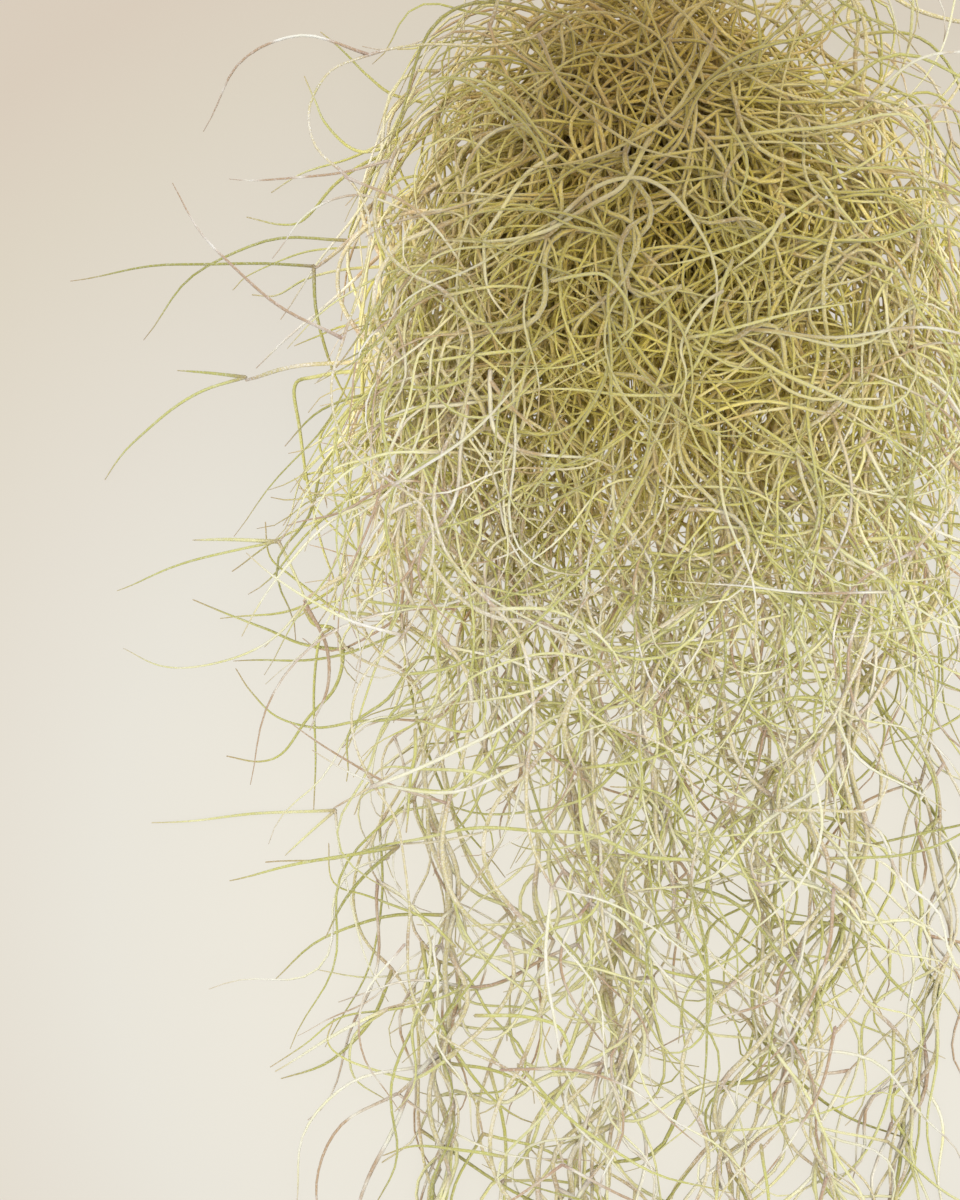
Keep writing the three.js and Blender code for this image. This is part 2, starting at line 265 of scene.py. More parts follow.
def grow_stem(draw, start, heading, aim_x, end_y, pull=PULL, most_links=MOST_LINKS):
    def turn_at(x, y, heading):
        return curl + pull * wrapped(course_from(x, y, aim_x) - heading)

    side = either(draw)
    place = (*start, heading)
    path = [place]
    while place[1] > end_y and len(path) <= most_links:
        if (len(path) - 1) % LINKS_PER_JOINT == 0:
            side = -side
            curl = side * between(draw, CURL)
            x, y, heading = place
            place = (x, y, heading + either_way(draw, KINK))
        place = next_link(place, LINK, turn_at)
        path.append(place)
    return path


def grow_arc(root, length, links, turn_at):
    path = [root]
    for _ in range(links):
        path.append(next_link(path[-1], length / links, turn_at))
    return path


def leaf_along(path, joint, length, draw):
    return {"joint": joint, "path": path, "length": length, "rise": draw(), "sag": draw()}


def grow_leaf(draw, stem, joint, side):
    length = between(draw, LEAF_LENGTH)
    curl = either(draw) * between(draw, LEAF_CURL)

    def turn_at(x, y, heading):
        droop = RIM_DROOP if y > RIM_Y else LEAF_DROOP
        return curl + droop * wrapped(-math.pi / 2 - heading)

    x, y, heading = stem[joint]
    root = (x, y, heading + side * between(draw, LEAF_SPREAD))
    return leaf_along(grow_arc(root, length, LEAF_LINKS, turn_at), joint, length, draw)


def grow_shoot(seed, level, **plan):
    draw = draws(seed)
    stem = grow_stem(draw, **plan)
    leaves = []
    side = either(draw)
    last = len(stem) - 1
    for joint in range(LINKS_PER_JOINT, last, LINKS_PER_JOINT):
        side = -side
        leaves.append(grow_leaf(draw, stem, joint, side))
    leaves.append(grow_leaf(draw, stem, last, side))
    leaves.append(grow_leaf(draw, stem, last, -side))
    return {"stem": stem, "leaves": leaves, "level": level}


def grow_sprig(seed, start, stem, leaves):
    draw = draws(seed)

    def arc(root, heading, length, turn):
        def turn_at(*_):
            return math.radians(turn) / length

        place = (*root[:2], math.radians(heading))
        return grow_arc(place, length, max(2, round(length / LINK)), turn_at)

    path = arc(start, *stem)
    joint = len(path) - 1
    grown = []
    for heading, length, turn in leaves:
        leaf = arc(path[joint], heading, length, turn)
        grown.append(leaf_along(leaf, joint, length, draw))
    return {"stem": path, "leaves": grown, "level": SPRIG_LEVEL}


# Laying down. A thread is an array of rows (x, y, z, radius).

reached = np.zeros(COLUMNS * ROWS)


def near_cells(x, y, radius):
    """The cells under a thread, in rows that have the number of one cell for each of its places."""
    reach = np.stack([-radius, radius]) + [[-CELL_MARGIN], [CELL_MARGIN]]
    left, right = np.floor((x + reach + GRID_HALF_WIDTH) / CELL).astype(int)
    low, high = np.floor((y + reach + GRID_HALF_LENGTH) / CELL).astype(int)
    for up in range(CELLS_ACROSS):
        for along in range(CELLS_ACROSS):
            yield np.minimum(low + up, high) * COLUMNS + np.minimum(left + along, right)


def apart(a, b):
    return math.hypot(a[0] - b[0], a[1] - b[1])


def link_samples(start, end):
    count = math.ceil(apart(end, start) / CELL)
    t = np.arange(count + 1)[:, None] / count
    return start + (end - start) * t


def thread_samples(thread):
    return np.concatenate([link_samples(a, b) for a, b in zip(thread[:-1], thread[1:])])


def lowest(samples):
    x, y, _, radius = samples.T
    floor = np.zeros(len(samples))
    for cell in near_cells(x, y, radius):
        held = reached[cell]
        floor = np.maximum(floor, np.where(held > 0, held + CLEARANCE, 0))
    return floor + radius / 2


def needed_over(start, end):
    return lowest(link_samples(start, end)).max()


def lift_over(thread, first_free):
    """Raises a thread over all that is there, and then where it would fall or bend too steeply."""

    def rise(i, z):
        thread[i, 2] = max(thread[i, 2], z)

    count = len(thread)
    for i in range(count - 1):
        need = needed_over(thread[i], thread[i + 1])
        if i >= first_free:
            rise(i, need)
        rise(i + 1, need)
    for i in range(count - 2, first_free - 1, -1):
        rise(i, thread[i + 1, 2] - STEEPEST * apart(thread[i], thread[i + 1]))
    for i in range(1, count):
        rise(i, thread[i - 1, 2] - STEEPEST * apart(thread[i], thread[i - 1]))
    for _ in range(ROUNDING_PASSES):
        for i in range(1, count - 1):
            rise(i, (thread[i - 1, 2] + thread[i + 1, 2]) / 2)


def slack_of(thread):
    samples = thread_samples(thread)
    return (samples[:, 2] - lowest(samples)).min()


def keep_heights(thread):
    samples = thread_samples(thread)
    x, y, z, radius = samples.T
    for cell in near_cells(x, y, radius):
        np.maximum.at(reached, cell, z + radius)


def thread_of(path):
    thread = np.zeros((len(path), 4))
    thread[:, :2] = [place[:2] for place in path]
    return thread


def stem_over_core(shoot, root_z):
    """The stem at its level in the bunch, and over the core if it is rooted there, at root_z."""
    stem = thread_of(shoot["stem"])
    stem[:, 3] = STEM_RADIUS
    run = 0
    for i, place in enumerate(stem):
        if i > 0:
            run += apart(place, stem[i - 1])
        place[2] = max(shoot["level"] * height_at(place[0], place[1]), STEM_RADIUS / 2)
        if root_z is not None:
            place[2] = min(place[2], root_z + STEEPEST * run)
            if i > 0:
                place[2] = max(place[2], lowest_over_core(place[0], place[1]))
    return stem


def leaf_heights(leaf, level, root_z, count):
    """Heights along a leaf, which rises from its joint and falls towards its tip."""
    t = np.arange(count) / (count - 1)
    lift = LEAF_LIFT[0] + LEAF_LIFT[1] * level * leaf["rise"]
    sag = LEAF_SAG[0] + (LEAF_SAG[1] - LEAF_SAG[0]) * leaf["sag"]
    return root_z + leaf["length"] * (lift * t - sag * t * t)


def leaf_thread(leaf):
    thread = thread_of(leaf["path"])
    t = np.arange(len(thread)) / (len(thread) - 1)
    thread[:, 3] = LEAF_RADIUS + (TIP_RADIUS - LEAF_RADIUS) * t
    return thread


def lay_shoot(shoot, root_z=None):
    """Lays a shoot over all that is there. Returns the stem's thread and (joint, thread) of each leaf."""
    rooted = root_z is not None
    stem = stem_over_core(shoot, root_z)
    leaves = [(leaf, leaf_thread(leaf)) for leaf in shoot["leaves"]]
    for leaf, thread in leaves:
        joint = leaf["joint"]
        stem[joint, 2] = max(stem[joint, 2], needed_over(thread[0], thread[1]))
    lift_over(stem, 1 if rooted else 0)
    for leaf, thread in leaves:
        thread[:, 2] = leaf_heights(leaf, shoot["level"], stem[leaf["joint"], 2], len(thread))
        for place in thread:
            over_core = lowest_over_core(place[0], place[1]) if rooted else 0
            place[2] = max(place[2], place[3] / 2, over_core)
        lift_over(thread, 1)
    threads = [stem, *(thread for _, thread in leaves)]
    if not rooted:
        slack = min(slack_of(thread) for thread in threads)
        stem[:, 2] -= slack
        for leaf, thread in leaves:
            thread[1:, 2] -= slack
            thread[0, 2] = stem[leaf["joint"], 2]
    for thread in threads:
        keep_heights(thread)
    return stem, [(leaf["joint"], thread) for leaf, thread in leaves]


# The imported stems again, by node.


def inner_stems():
    for i in range(INNER_STEMS):
        seed = INNER_SEED + i
        draw = draws(seed)
        aim_x = rope_for(i * 3 + 1, draw)
        start = (aim_x * 0.9, 18 + 28 * draw())
        heading = -math.pi / 2 + (draw() - 0.5)
        end_y = tail_end_at(aim_x, 80 * draw())
        level = 0.5 * (i / INNER_STEMS)
        shoot = grow_shoot(seed + GROWN_SEED, level, start=start, heading=heading, aim_x=aim_x, end_y=end_y)
        shoot["leaves"] = [
            leaf for leaf in shoot["leaves"]
            if all(core_share(x, y, CORE_GAP) > 1 for x, y, _ in leaf["path"])
        ]
        yield f"inner_stem_{i + 1:02d}", lay_shoot(shoot)


def head_stems():
    for i in range(HEAD_STEMS):
        seed = HEAD_SEED + i
        draw = draws(seed)
        aim_x = rope_for(i * 7, draw)
        start = (either_way(draw, 15), CORE_Y + 22 - 24 * draw())
        if i < HUGGING_STEMS:
            plan = {"heading": math.tau * draw(), "end_y": 20, "level": 0.3,
                    "pull": HUGGING_PULL, "most_links": HUGGING_LINKS}
        else:
            plan = {"heading": math.pi / 2 - (aim_x / HALF_WIDTH) * (0.4 + draw()),
                    "end_y": 20 - 70 * draw(), "level": 0.6 + 0.35 * draw()}
        shoot = grow_shoot(seed + GROWN_SEED, start=start, aim_x=aim_x, **plan)
        yield "head", lay_shoot(shoot, ROOT_SHARE * CORE_HEIGHT)


def side_sprigs():
    for i, sprig in enumerate(SPRIGS):
        yield f"side_sprig_{i + 1:02d}", lay_shoot(grow_sprig(SPRIG_SEED + i, *sprig))


def outer_stems():
    for i in range(OUTER_STEMS):
        seed = OUTER_SEED + i
        draw = draws(seed)
        aim_x = rope_for(i * 3, draw)
        start = (-0.35 * aim_x + either_way(draw, 12), 98 + 26 * draw())
        heading = math.pi / 2 - (aim_x / HALF_WIDTH) * 1.3 + (draw() - 0.5)
        end_y = tail_end_at(aim_x, 60 * draw()) if i % 2 == 0 else -60 + 80 * draw()
        level = 0.85 + 0.15 * draw()
        shoot = grow_shoot(seed + GROWN_SEED, level, start=start, heading=heading, aim_x=aim_x, end_y=end_y)
        yield f"outer_stem_{i + 1:02d}", lay_shoot(shoot)


def packed_shoots():
    shoots = {}
    for kind in (inner_stems, head_stems, side_sprigs, outer_stems):
        for node, laid in kind():
            shoots.setdefault(node, []).append(laid)
    return shoots


def shift_of(shoots):
    """What is added to the source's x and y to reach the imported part's place."""
    everything = np.concatenate(
        [thread for laid in shoots.values() for stem, leaves in laid
         for thread in [stem, *(leaf for _, leaf in leaves)]]
    )
    low = (everything[:, :2] - everything[:, 3:]).min(0)
    high = (everything[:, :2] + everything[:, 3:]).max(0)
    return -(low + high) / 2


# Added stems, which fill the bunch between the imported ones. They keep to its outline and heights.

ADDED_STEP = 2.6  # length between rings
ADDED_LINKS_PER_JOINT = 12
ADDED_MOST_LINKS = 130
ADDED_CURL = 0.038
ADDED_SWING = (0.2, 0.85)  # radians to each side of its course that a stem winds by
ADDED_SWING_LENGTH = (22, 42)
COMBED_LINKS = 10  # from a stem's start, over which its swing grows
ADDED_LEAF_LENGTH = (32, 64)
ADDED_LEAF_LINKS = 16
ADDED_LEAF_SPREAD = (0.3, 1.4)
ADDED_LEAF_SWING = (0.15, 0.75)  # radians to each side of its course
LOOSE_LEAF_SWING = 0.6  # share of that where nothing hangs
ADDED_LEAF_CURL = 0.05  # most turn per millimetre at the root
ADDED_TIP_CURL = 0.16  # and at the tip
WANDER = 0.015  # most change of a stem's turn per millimetre from ring to ring
WANDER_KEPT = 0.75  # share of it that lasts to the next ring
ADDED_LEAF_DROOP = 0.01
HOOKED_SHARE = 0.22  # of the leaves, which end in a small hook
HOOK_CURL = 2.2
ADDED_WAVE = 1.6  # height that an added stem rises and falls by
ADDED_WAVE_LENGTH = 42
LEAVES_TO_A_JOINT = (0.6, 3.2)
FEWER_HANGING = 0.75  # how much fewer where they hang
FIRST_JOINT = 3  # least number of links before it
RIM_MIDDLE = 6  # x
RIM_YS = (25, 58, 88, 116)
RIM_WIDTHS = (1, 0.79, 0.79, 1.08)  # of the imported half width, at those
RIM_LEAST_WIDTH = 14
RIM_SHARE = 0.64  # of that, from where growth is turned down along the rim
RIM_TURN = 0.22
RIM_MOST_OUT = 0.6
TAIL_NEARS = (85, 25)  # y from where the rim changes towards the tail, and where all of it has
RIM_RIGHT_CUT = 0.21  # of the right side's width, near the tail
RIM_SOFTENS = 0.15  # share by which growth is let out further near the tail
ROOM_OVER_DOME = 4

# First seeds of the added stems' draws.
NAPE_SEED = 4001
CROWN_SEED = 5001
CURTAIN_SEED = 7001
TAIL_SEED = 9001
TAIL_LEAF_SEED = 9501

# How much each kind hangs: 1 winds as it will, and more is straighter and less leafy.
NAPE_HANGING = 0.8
CROWN_HANGING = (2.2, 1.4)  # at the surface on which it lies, and how much less at its face
CURTAIN_HANGING = 1.3
TAIL_HANGING = 1.6

NAPE_STEMS = 30
NAPE_LINKS = 26
CROWN_STEMS = 195
CROWN_LOCK = 5  # stems that run together
CROWN_MIDDLE = 4
CROWN_REACH = 56  # of the locks' aims, to each side of that
CROWN_AIM_STRIDE = 0.618
CROWN_END_STRIDE = 0.755
CURTAIN_STEMS = 48
CURTAIN_LOCK = 4
CURTAIN_ROPES_X = (-38, -18, 18, 34, -8, -52, 12, -14, 42, -26, -2, -44)
TAIL_STEMS = 24
TAIL_LOCK = 4
TAIL_ROPES_X = (-20, 26, 44, -50, -13, 60)
STEMS_TO_A_PIECE = 30
MOST_LOCKS = 500  # of a kind, which keeps the seeds of locks and of their members apart


def rim_pull(x, y):
    """Turn towards the tail, per millimetre and radian, which keeps growth inside the outline."""
    near_tail = min(1, max(0, (TAIL_NEARS[0] - y) / (TAIL_NEARS[0] - TAIL_NEARS[1])))
    width = np.interp(y, RIM_YS, RIM_WIDTHS)
    if x > RIM_MIDDLE:
        width *= 1 - RIM_RIGHT_CUT * near_tail
    half_width = max(RIM_LEAST_WIDTH, width * half_width_at(y))
    out = abs(x - RIM_MIDDLE) / half_width - RIM_SOFTENS * near_tail
    return RIM_TURN * min(RIM_MOST_OUT, max(0, out - RIM_SHARE))


def grow_added_stem(shared, own, hanging, start, heading, aim_x, end_y, most_links=ADDED_MOST_LINKS):
    """A path that winds about its course. Stems with the same shared draws twist about one another."""
    x, y = start
    swing = between(own, ADDED_SWING) / hanging
    swing_length = between(own, ADDED_SWING_LENGTH)
    phase = math.tau * own()
    curl = wander = 0
    path = [(x, y, heading)]
    while y > end_y and len(path) <= most_links:
        if (len(path) - 1) % ADDED_LINKS_PER_JOINT == 0:
            curl = either_way(shared, ADDED_CURL) / hanging
        wander = WANDER_KEPT * wander + either_way(shared, WANDER)
        off_course = wrapped(course_from(x, y, aim_x) - heading)
        heading += (curl + wander + (PULL + rim_pull(x, y)) * off_course) * ADDED_STEP
        phase += math.tau * ADDED_STEP / swing_length
        onward = heading + swing * min(1, len(path) / COMBED_LINKS) * math.sin(phase)
        x += math.cos(onward) * ADDED_STEP
        y += math.sin(onward) * ADDED_STEP
        path.append((x, y, onward))
    return path


def grow_added_leaf(draw, stem, joint, side, hanging):
    x, y, heading = stem[joint]
    heading += side * between(draw, ADDED_LEAF_SPREAD) / hanging
    length = between(draw, ADDED_LEAF_LENGTH)
    root_curl = either_way(draw, ADDED_LEAF_CURL)
    tip_curl = either_way(draw, ADDED_TIP_CURL)
    if draw() < HOOKED_SHARE:
        tip_curl *= HOOK_CURL
    swing = between(draw, ADDED_LEAF_SWING) * min(1, LOOSE_LEAF_SWING * hanging)
    swing_length = between(draw, ADDED_SWING_LENGTH)
    phase = math.tau * draw()
    step = length / ADDED_LEAF_LINKS
    path = [(x, y, heading)]
    for link in range(ADDED_LEAF_LINKS):
        curl = root_curl + (tip_curl - root_curl) * (link / ADDED_LEAF_LINKS) ** 2
        droop = ADDED_LEAF_DROOP * hanging**2 + rim_pull(x, y)
        heading += (curl + droop * wrapped(-math.pi / 2 - heading)) * step
        phase += math.tau * step / swing_length
        onward = heading + swing * math.sin(phase)
        x += math.cos(onward) * step
        y += math.sin(onward) * step
        path.append((x, y, onward))
    return leaf_along(path, joint, length, draw)


def grow_added(shared, seed, level, hanging, *plan):
    """An added shoot: its stem's thread, and the joint and thread of each leaf.

    The more it hangs, the closer its leaves keep to its stem and to the run of the tail.
    """
    draw = draws(seed)
    path = grow_added_stem(shared, draw, hanging, *plan)
    last = len(path) - 1
    first = FIRST_JOINT + int(ADDED_LINKS_PER_JOINT * draw())
    side = either(draw)
    leaves = []
    for joint in [*range(first, last, ADDED_LINKS_PER_JOINT), last]:
        for _ in range(round(between(draw, LEAVES_TO_A_JOINT) / max(1, FEWER_HANGING * hanging))):
            side = -side
            leaves.append(grow_added_leaf(draw, path, joint, side, hanging))

    stem = thread_of(path)
    wave_at = np.arange(len(stem)) * ADDED_STEP / ADDED_WAVE_LENGTH + draw()
    over = [level * height_at(x, y) for x, y in stem[:, :2]]
    stem[:, 2] = np.maximum(over + ADDED_WAVE * np.sin(math.tau * wave_at), FINE_STEM_RADIUS)
    return stem, [(leaf["joint"], hang_leaf(leaf, stem, level)) for leaf in leaves]


def hang_leaf(leaf, stem, level):
    thread = thread_of(leaf["path"])
    root_z = stem[leaf["joint"], 2]
    z = leaf_heights(leaf, level, root_z, len(thread))
    top = [height_at(x, y) + ROOM_OVER_DOME for x, y in thread[:, :2]]
    thread[:, 2] = np.maximum(np.minimum(z, np.maximum(top, root_z)), FINE_LEAF_RADIUS)
    return thread


def evenly(i, stride):
    """One of a row of numbers from 0 to 1 that fill the gaps between the earlier ones."""
    return (i + 1) * stride % 1


def lock_of(first_seed, i, members):
    """Draws that the members of one lock share, and draws of the member's own."""
    return draws(first_seed + i // members), draws(first_seed + MOST_LOCKS + i)


def crown_shoot(i):
    """Starts in the crown and fans out over the head, in a lock with others."""
    shared, own = lock_of(CROWN_SEED, i, CROWN_LOCK)
    lock = i // CROWN_LOCK
    aim_x = CROWN_MIDDLE + CROWN_REACH * (2 * evenly(lock, CROWN_AIM_STRIDE) - 1) + either_way(own, 5)
    start_x = -0.15 * aim_x + either_way(shared, 16) + either_way(own, 4)
    start_y = 98 + 30 * shared() + either_way(own, 6)
    fanned = (aim_x / HALF_WIDTH) * (0.5 + 1.4 * shared())
    heading = -math.pi / 2 + fanned + either_way(shared, 0.4) + either_way(own, 0.3)
    end_y = 12 + 62 * evenly(lock, CROWN_END_STRIDE) + either_way(own, 18)
    level = min(1.1, max(0.25, 0.28 + 0.82 * shared() ** 1.2 + either_way(own, 0.12)))
    hanging = max(NAPE_HANGING, CROWN_HANGING[0] - CROWN_HANGING[1] * level)
    seed = CROWN_SEED + GROWN_SEED + i
    return grow_added(shared, seed, level, hanging, (start_x, start_y), heading, aim_x, end_y)


def nape_shoot(i):
    """Rises out of the crown and turns over its far side."""
    draw = draws(NAPE_SEED + i)
    aim_x = either_way(draw, HALF_WIDTH)
    start = (0.35 * aim_x + either_way(draw, 8), 92 + 24 * draw())
    heading = math.pi / 2 - (aim_x / HALF_WIDTH) * 1.2 + (draw() - 0.5)
    level = 0.1 + 0.85 * draw()
    seed = NAPE_SEED + GROWN_SEED + i
    return grow_added(draw, seed, level, NAPE_HANGING, start, heading, 1.2 * aim_x, TAIL_END_Y, NAPE_LINKS)


def curtain_shoot(i):
    """Starts under the head and runs down towards the tail."""
    shared, own = lock_of(CURTAIN_SEED, i, CURTAIN_LOCK)
    aim_x = CURTAIN_ROPES_X[i // CURTAIN_LOCK] + either_way(own, 3)
    start_x = 0.9 * aim_x + either_way(shared, 10) + either_way(own, 3)
    start_y = 20 + 70 * shared() + either_way(own, 10)
    heading = -math.pi / 2 + either_way(shared, 0.8) + either_way(own, 0.3)
    end_y = -30 + either_way(own, 50)
    level = 0.15 + 0.85 * own()
    seed = CURTAIN_SEED + GROWN_SEED + i
    return grow_added(shared, seed, level, CURTAIN_HANGING, (start_x, start_y), heading, aim_x, end_y)


def tail_shoot(i):
    """Runs down one of the ropes of the tail, twisted with others."""
    shared, own = lock_of(TAIL_SEED, i, TAIL_LOCK)
    aim_x = TAIL_ROPES_X[i // TAIL_LOCK] + either_way(shared, 3) + either_way(own, 1.5)
    start_y = -20 + either_way(shared, 30) + either_way(own, 14)
    heading = -math.pi / 2 + either_way(shared, 0.5)
    end_y = tail_end_at(aim_x, 40 * shared() + 30 * own())
    level = 0.1 + 0.9 * own()
    start = (0.9 * aim_x, start_y)
    return grow_added(shared, TAIL_LEAF_SEED + i, level, TAIL_HANGING, start, heading, aim_x, end_y)


# Single threads, each through the places given from its root to its tip.

PALE_ARCS = (
    ((-3, 90), (-8, 81), (-14, 77), (-23, 72), (-35, 70), (-46, 71)),
    ((-22, 73), (-14, 80), (-6, 82), (0, 80), (4, 76), (7, 71), (9, 66), (10, 60), (9, 52)),
    ((-21, 87), (-27, 83), (-32, 76), (-35, 71), (-35, 66), (-34, 60), (-30, 54)),
    ((-34, 45), (-34, 41), (-33, 33), (-27, 29), (-15, 28), (-10, 26)),
    ((-34, 43), (-30, 38), (-25, 33)),
    ((23, 75), (19, 69), (13, 64)),
    ((11, 60), (8, 58), (5, 54), (3, 49), (4, 44), (3, 38)),
)
GREEN_ARCS = (
    ((-35, 101), (-32, 96), (-27, 92), (-23, 89), (-16, 88)),
    ((-22, 62), (-17, 63), (-12, 63), (-8, 59), (-6, 54), (-8, 50), (-14, 46), (-21, 42)),
    ((3, 61), (-2, 56), (-9, 51), (-17, 46), (-25, 45), (-32, 46)),
    ((30, 79), (23, 74), (15, 69), (5, 66), (-4, 65)),
    ((3, 40), (-6, 40), (-17, 41), (-27, 41)),
    ((13, 66), (11, 61), (8, 50), (2, 40), (-3, 33), (-10, 25)),
    ((-25, 49), (-38, 48), (-48, 47), (-56, 46)),
    ((4, 51), (10, 52), (21, 55), (31, 57), (40, 59)),
    ((-40, 63), (-39, 58), (-35, 54), (-32, 50), (-27, 46)),
    ((30, 83), (35, 76), (40, 71), (46, 68)),
    ((2, 112), (-6, 107), (-16, 107), (-26, 101), (-31, 96)),
    ((12, 94), (16, 86), (14, 78), (8, 74), (2, 77)),
)
SIDE_ARCS = (
    ((-60, 46), (-70, 46), (-74, 44), (-73, 36), (-72, 26), (-70, 18), (-68, 10), (-66, 3), (-66, -4)),
    ((-72, -2), (-70, -5), (-66, -6), (-64, -11), (-66, -18), (-71, -24), (-76, -31), (-81, -33),
     (-88, -32)),
    ((-58, -3), (-65, -2), (-70, 1), (-75, 5), (-79, 9), (-80, 16)),
    ((-36, 44), (-44, 42), (-52, 42), (-62, 40), (-67, 37), (-69, 33), (-68, 29), (-65, 24), (-61, 19),
     (-58, 17)),
    ((-60, 0), (-52, -1), (-44, -2), (-38, -5), (-34, -6)),
    ((-49, -22), (-54, -24), (-62, -25), (-70, -26), (-78, -24), (-83, -19), (-86, -14)),
    ((-49, -24), (-42, -26), (-38, -26), (-35, -23), (-35, -18), (-36, -14)),
    ((-52, -15), (-44, -14), (-38, -12), (-32, -10), (-30, -4)),
    ((-67, -6), (-69, -8), (-70, -16), (-70, -28), (-70, -43)),
    ((-49, -26), (-49, -31), (-50, -36), (-51, -47)),
    ((-32, -38), (-35, -35), (-41, -34), (-49, -34), (-55, -34), (-58, -36)),
    ((-32, -24), (-33, -29), (-37, -34), (-42, -38), (-48, -38), (-55, -38), (-60, -40), (-62, -44)),
    ((-54, 30), (-60, 28), (-66, 26), (-70, 26), (-72, 25), (-68, 24), (-65, 24)),
    ((-52, 22), (-58, 20), (-65, 18), (-72, 15), (-80, 11), (-87, 6)),
    ((-62, -10), (-65, -10), (-73, -9), (-80, -6), (-87, -3), (-95, 0)),
    ((-48, 36), (-49, 30), (-47, 25), (-45, 20), (-41, 14), (-36, 10)),
)
SIDE_STEMS = (
    ((-66, -6), (-63, -10), (-58, -13), (-52, -15), (-49, -18), (-49, -22)),
    ((-57, 29), (-57, 25), (-54, 22), (-49, 17), (-44, 14)),
    ((23, -42), (32, -42), (42, -42), (46, -37), (44, -30), (39, -25)),
)
TAIL_ARCS = (
    ((-39, -78), (-45, -81), (-55, -84), (-65, -86), (-72, -91), (-79, -96)),
    ((-41, -92), (-48, -97), (-52, -98), (-62, -95), (-67, -91), (-66, -86)),
    ((-31, -113), (-38, -112), (-49, -112), (-56, -114)),
    ((-41, -70), (-48, -64), (-59, -61), (-66, -58), (-67, -50)),
    ((7, -52), (-4, -51), (-14, -47), (-24, -46), (-38, -46), (-52, -49), (-66, -53), (-80, -54)),
    ((7, -51), (4, -42), (-2, -38), (-10, -37)),
    ((-37, -84), (-27, -84), (-20, -86), (-18, -92), (-21, -95), (-23, -90), (-22, -86)),
)
WISPS = (
    ((-40, 97), (-47, 96), (-55, 94), (-63, 91), (-72, 88), (-79, 84)),
    ((-46, 102), (-54, 104), (-59, 108), (-64, 113), (-69, 117)),
    ((-50, 95), (-58, 92), (-63, 93), (-68, 98), (-70, 103), (-72, 108)),
    ((-50, 92), (-58, 90), (-66, 85), (-72, 78), (-77, 77), (-84, 79)),
    ((-46, 74), (-56, 73), (-69, 72), (-77, 70), (-84, 67), (-87, 64)),
    ((-44, 71), (-53, 69), (-63, 68), (-72, 66), (-78, 63), (-83, 63)),
    ((-54, 58), (-64, 56), (-69, 54), (-74, 52)),
    ((-36, 112), (-44, 114), (-49, 113), (-53, 113)),
    ((-50, 98), (-56, 92), (-60, 82), (-63, 73), (-63, 63)),
)
# Places, radius, whether it is a stem, and tint.
ARC_KINDS = (
    (PALE_ARCS, 0.48, 0, 0.86),
    (GREEN_ARCS, 0.36, 0, 0.5),
    (SIDE_ARCS, 0.38, 0, 0.35),
    (SIDE_STEMS, 0.42, 1, 0.5),
    (TAIL_ARCS, 0.38, 0, 0.35),
)
ARC_SEED = 11001
ARC_TINT_SPREAD = 0.08
ARC_RISE = 1.08  # share of the bunch's height at which the arcs lie
ARC_LIFT = 3  # and how much above that
WISP_SEED = 12001
WISP_RADIUS = 0.36
WISP_TINTS = (0.1, 0.6)
WISP_HEIGHTS = (4, 14)
WISP_DROP = 0.15  # share of its height that a wisp falls from place to place
RINGS_TO_A_PLACE = 6


def arc_threads(seed, arcs, radius, stem, tint):
    draw = draws(seed)
    for arc in arcs:
        rows = np.array([(x, y, ARC_RISE * height_at(x, y) + ARC_LIFT) for x, y in arc])
        yield single_thread(rows, draw, radius, stem, tint + either_way(draw, ARC_TINT_SPREAD))


def wisp_threads():
    draw = draws(WISP_SEED)
    for wisp in WISPS:
        height = between(draw, WISP_HEIGHTS)
        rows = np.array([(x, y, height * (1 - WISP_DROP * i)) for i, (x, y) in enumerate(wisp)])
        yield single_thread(rows, draw, WISP_RADIUS, 0, between(draw, WISP_TINTS))


def single_thread(rows, draw, radius, stem, tint):
    places = rings_through(rows, RINGS_TO_A_PLACE)
    run = run_along(places)
    radii = radius * between(draw, SINGLE_DRAW) * tapered(run, SINGLE_TAPER)
    sheath = SINGLE_SHEATH * np.clip(1 - run / SHEATH_LENGTH, 0, 1)
    places = waved(places, run, *SINGLE_WAVE, draw())
    return Thread(places, radii, sheath, stem, tint, math.tau * draw(), SINGLE_GOLDEN)


# The tangle: short threads wound about the core, so that it shows from no side.

TANGLE_SEED = 611
TANGLE_THREADS = 420
TANGLE_RINGS = 14
TANGLE_STEP = 0.12  # turn about the core from ring to ring, radians
TANGLE_CURL = 0.12
TANGLE_REACH = (0.98, 1.2)  # distance from the core's middle, as a share of its size
TANGLE_LIFT = 0.12
TANGLE_WAVE = 3  # rings to a radian of its rise and fall


def tangle_threads():
    draw = draws(TANGLE_SEED)
    for _ in range(TANGLE_THREADS):
        at = direction(draw)
        onward = np.cross(at, direction(draw))
        curl = either_way(draw, TANGLE_CURL)
        reach, lift = between(draw, TANGLE_REACH), TANGLE_LIFT * draw()
        rows = np.zeros((TANGLE_RINGS, 4))
        for ring, row in enumerate(rows):
            onward -= at * np.dot(at, onward)
            onward /= np.linalg.norm(onward)
            row[:3] = about_core(at, reach + lift * math.sin(ring / TANGLE_WAVE))
            sideways = np.cross(at, onward)
            at = at + TANGLE_STEP * onward
            at /= np.linalg.norm(at)
            onward = onward + curl * sideways
        yield fine_leaf(rows, draw, draw())


def direction(draw):
    """A direction with all sides of the core as likely."""
    turn, up = math.tau * draw(), either_way(draw, 1)
    flat = math.sqrt(1 - up * up)
    return np.array([flat * math.cos(turn), flat * math.sin(turn), up])


def about_core(at, reach):
    belly = CORE_HEIGHT * CORE_BELLY
    up = (CORE_HEIGHT - belly if at[2] > 0 else belly) * at[2]
    return reach * CORE_HALF_WIDTH * at[0], CORE_Y + reach * CORE_HALF_LENGTH * at[1], belly + reach * up


# Fine threads.


